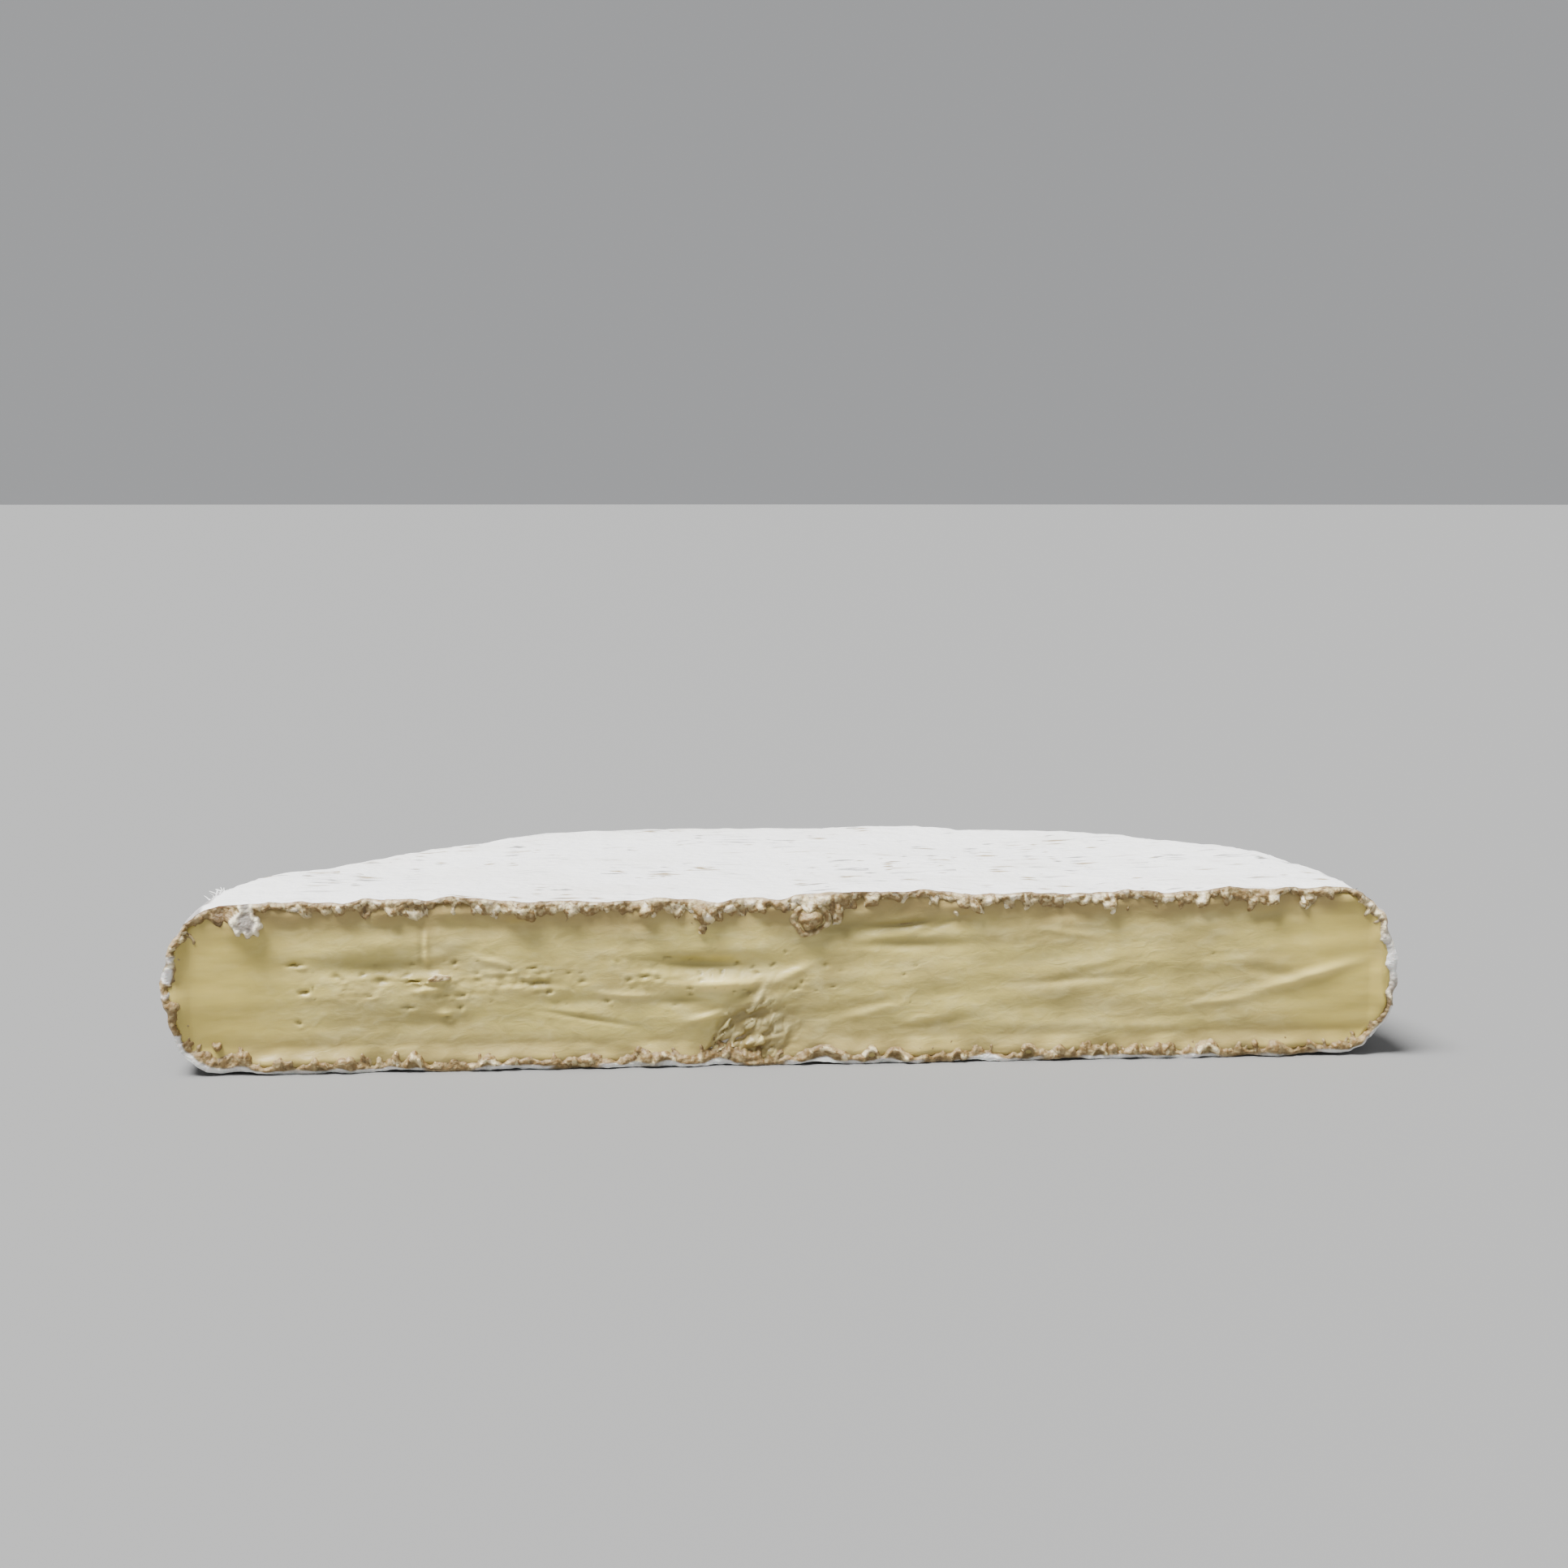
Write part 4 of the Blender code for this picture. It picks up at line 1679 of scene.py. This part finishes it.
        # Pits, each with a lip below its right side, painted dark inside as shade and pale on the lip as a
        # highlight
        ragged_x = x + self.pit_rag * noise_at(places, self.pit_rag_length, 85.0)
        ragged_z = z + 0.25 * (ragged_x - x)
        ragged_z += 0.6 * self.pit_rag * noise_at(places, self.pit_rag_length, 87.0)
        for middle, height, long, wide, deep in self.all_pits():
            share = hump(ragged_x, ragged_z, (middle, height, long, wide))
            lip = hump(ragged_x, ragged_z, (middle + long * 0.9, height - wide * 1.6, long, wide))
            relief += deep * (0.40 * lip - share)
            dark += 0.9 * share
            light += 0.4 * lip

        # A step where the knife stopped, and crumbled belts beside it, painted pale where they stand proud
        # and dark where they sink as highlight and shade
        upright = window(z, self.step_rise, self.step_fall)
        step = bell(x, *self.step_at) * upright
        relief += self.step_height * step
        light += 0.60 * step
        dark += 0.45 * bell(x, *self.step_shade_at) * upright
        rough = fractal_at(places * np.array((0.6, 1.0, 1.0)), 0.0011, 3, 141.0)
        rough *= smooth_step(noise_at(places, 0.0052, 143.0), -0.25, 0.25)
        crumbled = humps(x, z, self.crumbled) * rough
        relief += crumbled
        light += self.crumbled_tone * np.maximum(crumbled, 0.0)
        dark += self.crumbled_tone * np.maximum(-crumbled, 0.0)

        # The border sinks under the torn edge, and is browned beside it: partly a stain, partly painted shade
        # under the torn rind
        relief -= self.border_sink * (1.0 - smooth_step(depth - self.inset, 0.0, self.border_width))
        ragged_depth = depth + self.stain_and_shade_rag * noise_at(places, 0.0040, 97.0)
        stain_and_shade = 1.0 - smooth_step(ragged_depth, *self.stain_and_shade_depth)
        past_end = np.abs(x) - self.form.radius
        end_share = smooth_step(past_end, -self.stain_and_shade_end[0], -self.stain_and_shade_end[1])
        stain_and_shade *= (0.55 + 0.45 * smooth_step(z, *self.stain_and_shade_height)) * (1.0 - 0.75 * end_share)
        return relief, {
            "light": np.clip(light, 0.0, self.deepest_tone),
            "dark": np.clip(dark, 0.0, self.deepest_tone),
            "rind_stain_and_shade": np.maximum(stain_and_shade, humps(x, z, (self.hollow_stain_and_shade,))),
            "near_end": smooth_step(past_end, -self.gold_end[0], -self.gold_end[1]),
            "torn": torn,
            "torn_tone": torn_tone,
        }

    def torn_paste(self, places: Array) -> tuple[Array, Array, Array]:
        """The fan of crumbled ridges where the knife tore the paste open.

        Args:
            places: places on the cut.

        Returns:
            The height, how much of it is torn from 0 to 1, and how pale it is, paler on its ridges and crumbs
            as painted highlight and darker between them as painted shade.
        """
        x, z = places[:, 0] - self.torn_from[0], places[:, 2] - self.torn_from[1]
        reach = np.hypot(x, z)
        angle = np.degrees(np.arctan2(z, x)) + 9.0 * noise_at(places, 0.0050, 89.0)
        low, high = self.torn_angles
        inside = window(angle, (low - 12.0, low + 6.0), (high - 6.0, high + 14.0))
        inside *= window(reach, (0.0, 0.0020), (0.55 * self.torn_reach, self.torn_reach))
        fan = np.stack((angle / self.torn_ridge, reach / 0.0060, np.zeros(len(reach))), axis=1)
        ridge = noise_at(fan, 1.0, 91.0) + 0.5 * noise_at(fan, 0.5, 92.0)
        along, across = turned(places[:, 0], places[:, 2], self.torn_slope)
        drawn = standing(0.45 * along, across) + 0.0006 * pushes_at(places, 0.0020, (93.0, 94.0, 95.0))
        cell, _, number = cells_at(drawn, self.torn_lump, 7.0)
        crumbly = 1.0 - 0.7 * smooth_step(reach, 0.35 * self.torn_reach, 0.80 * self.torn_reach)
        crumb = (0.3 + number) * cell ** 0.6 - 0.45
        height = inside * (self.torn_height * ridge + self.torn_crumb * crumbly * crumb)
        # Paler on the ridges and crumbs, darker between them, as painted highlight and shade
        pale = 0.42 + 0.60 * ridge + crumbly * 0.8 * ((0.4 + number) * smooth_step(cell, 0.0, 0.6) - 0.5)
        return height, inside, np.clip(pale, 0.0, 1.0)

    def map_for_bake(self, piece: Piece, points: Array) -> None:
        """Lay the slab flat for the bake, its front over its hidden back.

        Args:
            piece: the slab.
            points: its points before they were shifted.
        """
        corners, totals = corners_of(piece.data)
        hidden = np.repeat(np.arange(len(totals)) == len(totals) - 1, totals)
        x, y, z = points[corners].T
        across = np.where(hidden, x * 0.2, x) / 0.250 + 0.5
        up = np.where(hidden, z * 2.0 + 0.400, z * 8.0 + y) / 0.500 + 0.05
        set_bake_map(piece.data, np.stack((across, up), axis=1))


@dataclass
class Scrap(Part):
    """A ragged scrap of rind or paste that hangs on the cut, with a dome, a crater or neither."""

    name: str
    place: Pair
    half_size: Pair
    slope: float
    proud: float
    jag: float
    tone: float
    seed: float
    dome: float = 0.0
    crater: float = 0.0
    crater_at: float = 0.64
    crater_width: float = 0.13
    rings: int = 18
    spokes: int = 72
    back: float = 0.0012
    undercut: float = 0.72
    grain: float = 0.0004

    def build(self, material: Material) -> Piece:
        """Build the scrap as a closed solid whose back is sunk into the cut.

        Args:
            material: its finish.

        Returns:
            The piece.
        """
        turn = np.arange(self.spokes) * 2.0 * math.pi / self.spokes
        circle = np.stack((np.cos(turn), np.sin(turn), np.zeros(self.spokes)), axis=1)
        out = 1.0 + self.jag * fractal_at(circle, 1.1, 2, self.seed)
        share = np.linspace(0.0, 1.0, self.rings + 1)[1:]
        across = np.append(np.outer(share, out * np.cos(turn)).ravel() * self.half_size[0], 0.0)
        up = np.append(np.outer(share, out * np.sin(turn)).ravel() * self.half_size[1], 0.0)
        ring_share = np.append(np.repeat(share, self.spokes), 0.0)
        x, z = turned(across, up, -self.slope)
        x, z = x + self.place[0], z + self.place[1]
        places = standing(x, z)
        dent = bell(ring_share, self.crater_at, self.crater_width)
        grain = self.grain * fractal_at(places, 0.0022, 3, self.seed + 5.0)
        height = self.proud + self.dome * (1.0 - ring_share ** 2) - self.crater * dent
        height += grain * (1.0 - 0.5 * ring_share ** 4)
        height -= 0.4 * self.proud * smooth_step(ring_share, 0.82, 1.0)
        front = self.proud_of_cut(x, z, self.form.cut_relief(x, z) + height)
        tip = self.rings * self.spokes
        centre = np.array((self.place[0], 0.0, self.place[1]))
        shrink = np.array((self.undercut, 1.0, self.undercut))
        back = centre + (front[tip - self.spokes:tip] - centre) * shrink
        back[:, 1] = self.back - self.form.cut_ahead
        back_index = len(front) + np.arange(self.spokes)
        index = np.concatenate((np.arange(tip), back_index)).reshape(-1, self.spokes)
        faces = grid_faces(index, closed=True).tolist() + [back_index.tolist()]
        faces += [[tip, spoke, (spoke + 1) % self.spokes] for spoke in range(self.spokes)]
        tone = self.tone + 0.30 * fractal_at(places, 0.0016, 2, self.seed + 9.0)
        none = np.zeros(len(front))
        values = {
            "tone": np.clip(tone + 0.35 * (ring_share - 0.6), 0.0, 1.0),
            # The crater's groove is darkened as painted shade
            "crease": min(1.0, self.crater * 1600.0) * dent,
            "skin": none,
            "line": none,
        }
        return self.make(self.name, np.concatenate((front, back)), faces, material, values)


@dataclass
class Frays(Part):
    """Slivers of white mould that stand up along the shoulder."""

    count: int = 130
    length: Pair = (0.0006, 0.0017)
    width: Pair = (0.00010, 0.00028)
    joints: int = 5
    sides: int = 5
    tuft_turns: Row = (168.3, 167.8, 168.1, 58.0)
    turns: Pair = (1.0, 179.0)
    angles: Pair = (5.0, 62.0)
    tuft_angle: Pair = (56.0, 5.0)
    lean: float = 0.8
    outwards: Pair = (0.4, 1.0)
    upwards: Pair = (0.0, 0.4)
    curl: float = 0.5
    tuft_curl: float = 1.1
    taper: float = 0.75
    flatness: float = 0.4
    sag: float = 0.6
    tuft_every: int = 6
    tuft_length: float = 1.35
    tuft_width: float = 3.6
    root_depth: float = 0.0004
    seed: int = 31

    def build(self, material: Material) -> Piece:
        """Build the slivers as one mesh.

        Args:
            material: their finish.

        Returns:
            The piece.
        """
        draw = np.random.default_rng(self.seed)
        points, faces = [], []
        for number in range(self.count):
            tuft = self.tuft_turns[number % len(self.tuft_turns)]
            tufted = number % self.tuft_every == 0
            turn = draw.normal(tuft, 1.0) if tufted else draw.uniform(*self.turns)
            angle = draw.normal(*self.tuft_angle) if tufted else draw.uniform(*self.angles)
            angle = math.radians(angle)
            out, height = self.form.rim_section(np.array((angle,)))
            turn = math.radians(turn)
            outward = np.array((math.cos(turn), math.sin(turn), 0.0))
            root = self.form.settle(np.array(((out[0] * outward[0], out[0] * outward[1], height[0]),)))[0]
            along = outward * math.cos(angle) + np.array((0.0, 0.0, math.sin(angle)))
            lean = np.array((-outward[1], outward[0], 0.0)) * draw.normal(0.0, self.lean)
            along = along * draw.uniform(*self.outwards) + lean
            along = along + np.array((0.0, 0.0, draw.uniform(*self.upwards)))
            along /= np.linalg.norm(along)
            curl = self.tuft_curl if tufted else self.curl
            bend = np.cross(along, outward) * draw.normal(0.0, curl) + outward * draw.normal(0.0, curl)
            length = draw.uniform(*self.length) * (self.tuft_length if tufted else 1.0)
            width = draw.uniform(*self.width) * (self.tuft_width if tufted else 1.0)
            points.append(self.sliver(root, along, bend, length, width))
            index = np.arange(self.joints * self.sides).reshape(self.joints, self.sides)
            index += self.joints * self.sides * number
            faces += grid_faces(index, closed=True).tolist() + [index[0].tolist(), index[-1].tolist()]
        still = np.zeros(len(points) * self.joints * self.sides)
        values = {"side": still, "around": still, "down": still}
        return self.make("frays", np.concatenate(points), faces, material, values)

    def sliver(self, root: Array, along: Array, bend: Array, length: float, width: float) -> Array:
        """Points of one bent, tapering sliver.

        Args:
            root: where it comes out of the skin.
            along: the direction in which it starts.
            bend: the direction in which it bends.
            length: its length.
            width: half its width at the root.

        Returns:
            Its points, ring after ring, the first ring sunk into the skin.
        """
        across = np.cross(along, (0.3, 0.2, 0.9))
        across /= np.linalg.norm(across)
        beside = np.cross(along, across)
        turn = np.arange(self.sides) * 2.0 * math.pi / self.sides
        rows = []
        for joint in range(self.joints):
            share = joint / (self.joints - 1.0)
            middle = root + along * (length * share - self.root_depth)
            middle = middle + bend * (length * share ** 2 * self.sag)
            half = width * (1.0 - self.taper * share)
            ring = across * np.cos(turn)[:, None] * half
            ring = ring + beside * np.sin(turn)[:, None] * half * self.flatness
            rows.append(middle + ring)
        return np.concatenate(rows)


@dataclass
class Studio:
    """Floor, light and camera."""

    form: WheelForm
    shift: Vector
    camera_back: float = 0.5290
    camera_left: float = 0.0494
    camera_height: float = 0.1104
    camera_turn: float = 5.20
    camera_tilt: float = 5.94
    camera_reach: Pair = (0.01, 100.0)
    lens: float = 63.35
    sensor: float = 36.0
    floor_radius: float = 40.0
    floor_sides: int = 64
    room_colour: Colour = (0.93, 0.94, 0.96, 1.0)
    room_light: float = 0.42

    def build(self) -> None:
        """Set up the studio."""
        self.build_floor()
        self.build_camera()
        self.build_lights()

    def place(self, name: str, data: bpy.types.ID) -> Piece:
        """Put an object into the scene.

        Args:
            name: its name.
            data: its mesh, camera or light.

        Returns:
            The object.
        """
        holder = bpy.data.objects.new(name, data)
        bpy.context.scene.collection.objects.link(holder)
        return holder

    def build_floor(self) -> None:
        """A wide plain floor just under the cheese."""
        mesh = bpy.data.meshes.new("floor")
        sheet = bmesh.new()
        bmesh.ops.create_circle(sheet, cap_ends=True, segments=self.floor_sides, radius=self.floor_radius)
        sheet.to_mesh(mesh)
        sheet.free()
        mesh.materials.append(StudioFinish().material())
        floor = self.place("floor", mesh)

    def build_camera(self) -> None:
        """The camera stands where the photograph was taken from."""
        camera = bpy.data.cameras.new("camera")
        camera.lens = self.lens
        camera.sensor_width = self.sensor
        camera.sensor_fit = "HORIZONTAL"
        camera.clip_start, camera.clip_end = self.camera_reach
        holder = self.place("camera", camera)
        cut = self.shift.y - self.form.cut_ahead
        holder.location = (self.shift.x - self.camera_left, cut - self.camera_back, self.camera_height)
        holder.rotation_euler = (math.radians(90.0 - self.camera_tilt), 0.0, math.radians(-self.camera_turn))
        bpy.context.scene.camera = holder

    def build_lights(self) -> None:
        """Soft light from overhead, a weaker one from in front, and the room."""
        self.soft_light("overhead", (-0.45, -0.21, 1.20), 30.0, 11.0)
        self.soft_light("front", (0.30, -1.30, 0.60), 70.0, 0.35)
        world = bpy.data.worlds.new("studio")
        world.use_nodes = True
        room = world.node_tree.nodes["Background"]
        room.inputs["Color"].default_value = self.room_colour
        room.inputs["Strength"].default_value = self.room_light
        bpy.context.scene.world = world

    def soft_light(self, name: str, side: Trio, spread: float, power: float) -> None:
        """An even soft light on all of the scene.

        Args:
            name: its name.
            side: the side that it shines from.
            spread: how wide it is in the sky, in degrees.
            power: its strength.
        """
        light = bpy.data.lights.new(name, "SUN")
        light.angle = math.radians(spread)
        light.energy = power
        holder = self.place(name, light)
        holder.location = side
        holder.rotation_euler = (-Vector(side)).to_track_quat("-Z", "Y").to_euler()


def frame_shift(form: WheelForm) -> Vector:
    """How far the wheel's centre lies from the frame's origin.

    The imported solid's box ends at the wheel's furthest point back, and its middle lies
    halfway between the wheel's two ends.

    Args:
        form: the wheel's form.

    Returns:
        The shift from the wheel's centre to the frame.
    """
    low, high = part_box(NODE)
    angles = np.linspace(0.0, math.pi, 721)
    x, y = form.radius * np.cos(angles), form.radius * np.sin(angles)
    settled = form.settle(standing(x, np.full_like(angles, form.belly_height), y))
    x = (low.x + high.x) / 2.0 - (settled[:, 0].min() + settled[:, 0].max()) / 2.0
    return Vector((x, high.y - settled[:, 1].max(), low.z))


def report(piece: Piece) -> None:
    """Log a piece's name and size."""
    size = piece.dimensions * 1000.0
    log.info("%s: %d faces, %.1f x %.1f x %.1f mm", piece.name, len(piece.data.polygons), *size)


def main() -> None:
    """Build the cheese piece by piece, then the studio."""
    form = WheelForm()
    shift = frame_shift(form)
    rind_finish = RindFinish().material()
    torn_finish = TornRindFinish().material()
    rind, outline = Rind(form, shift).build(rind_finish)
    nodule = Scrap(
        form, shift, "rind_nodule", place=(0.0038, 0.0287), half_size=(0.0040, 0.0033), slope=-8.0,
        proud=0.0002, jag=0.26, tone=0.02, seed=213.0, dome=0.0007, crater=0.0009,
    )
    flake = Scrap(
        form, shift, "paste_flake", place=(-0.0680, 0.0184), half_size=(0.0021, 0.0007), slope=3.0,
        proud=0.0005, jag=0.38, tone=0.12, seed=231.0,
    )
    pieces = [
        rind,
        TornEdge(form, shift).build(outline, torn_finish),
        Paste(form, shift).build(outline, PasteFinish().material()),
        Frays(form, shift).build(rind_finish),
        nodule.build(torn_finish),
        flake.build(torn_finish),
    ]
    for piece in pieces:
        dress(piece)
        report(piece)
    Studio(form, shift).build()


if __name__ == "__main__":
    logging.basicConfig(level=logging.INFO, format="%(name)s: %(message)s")
    main()
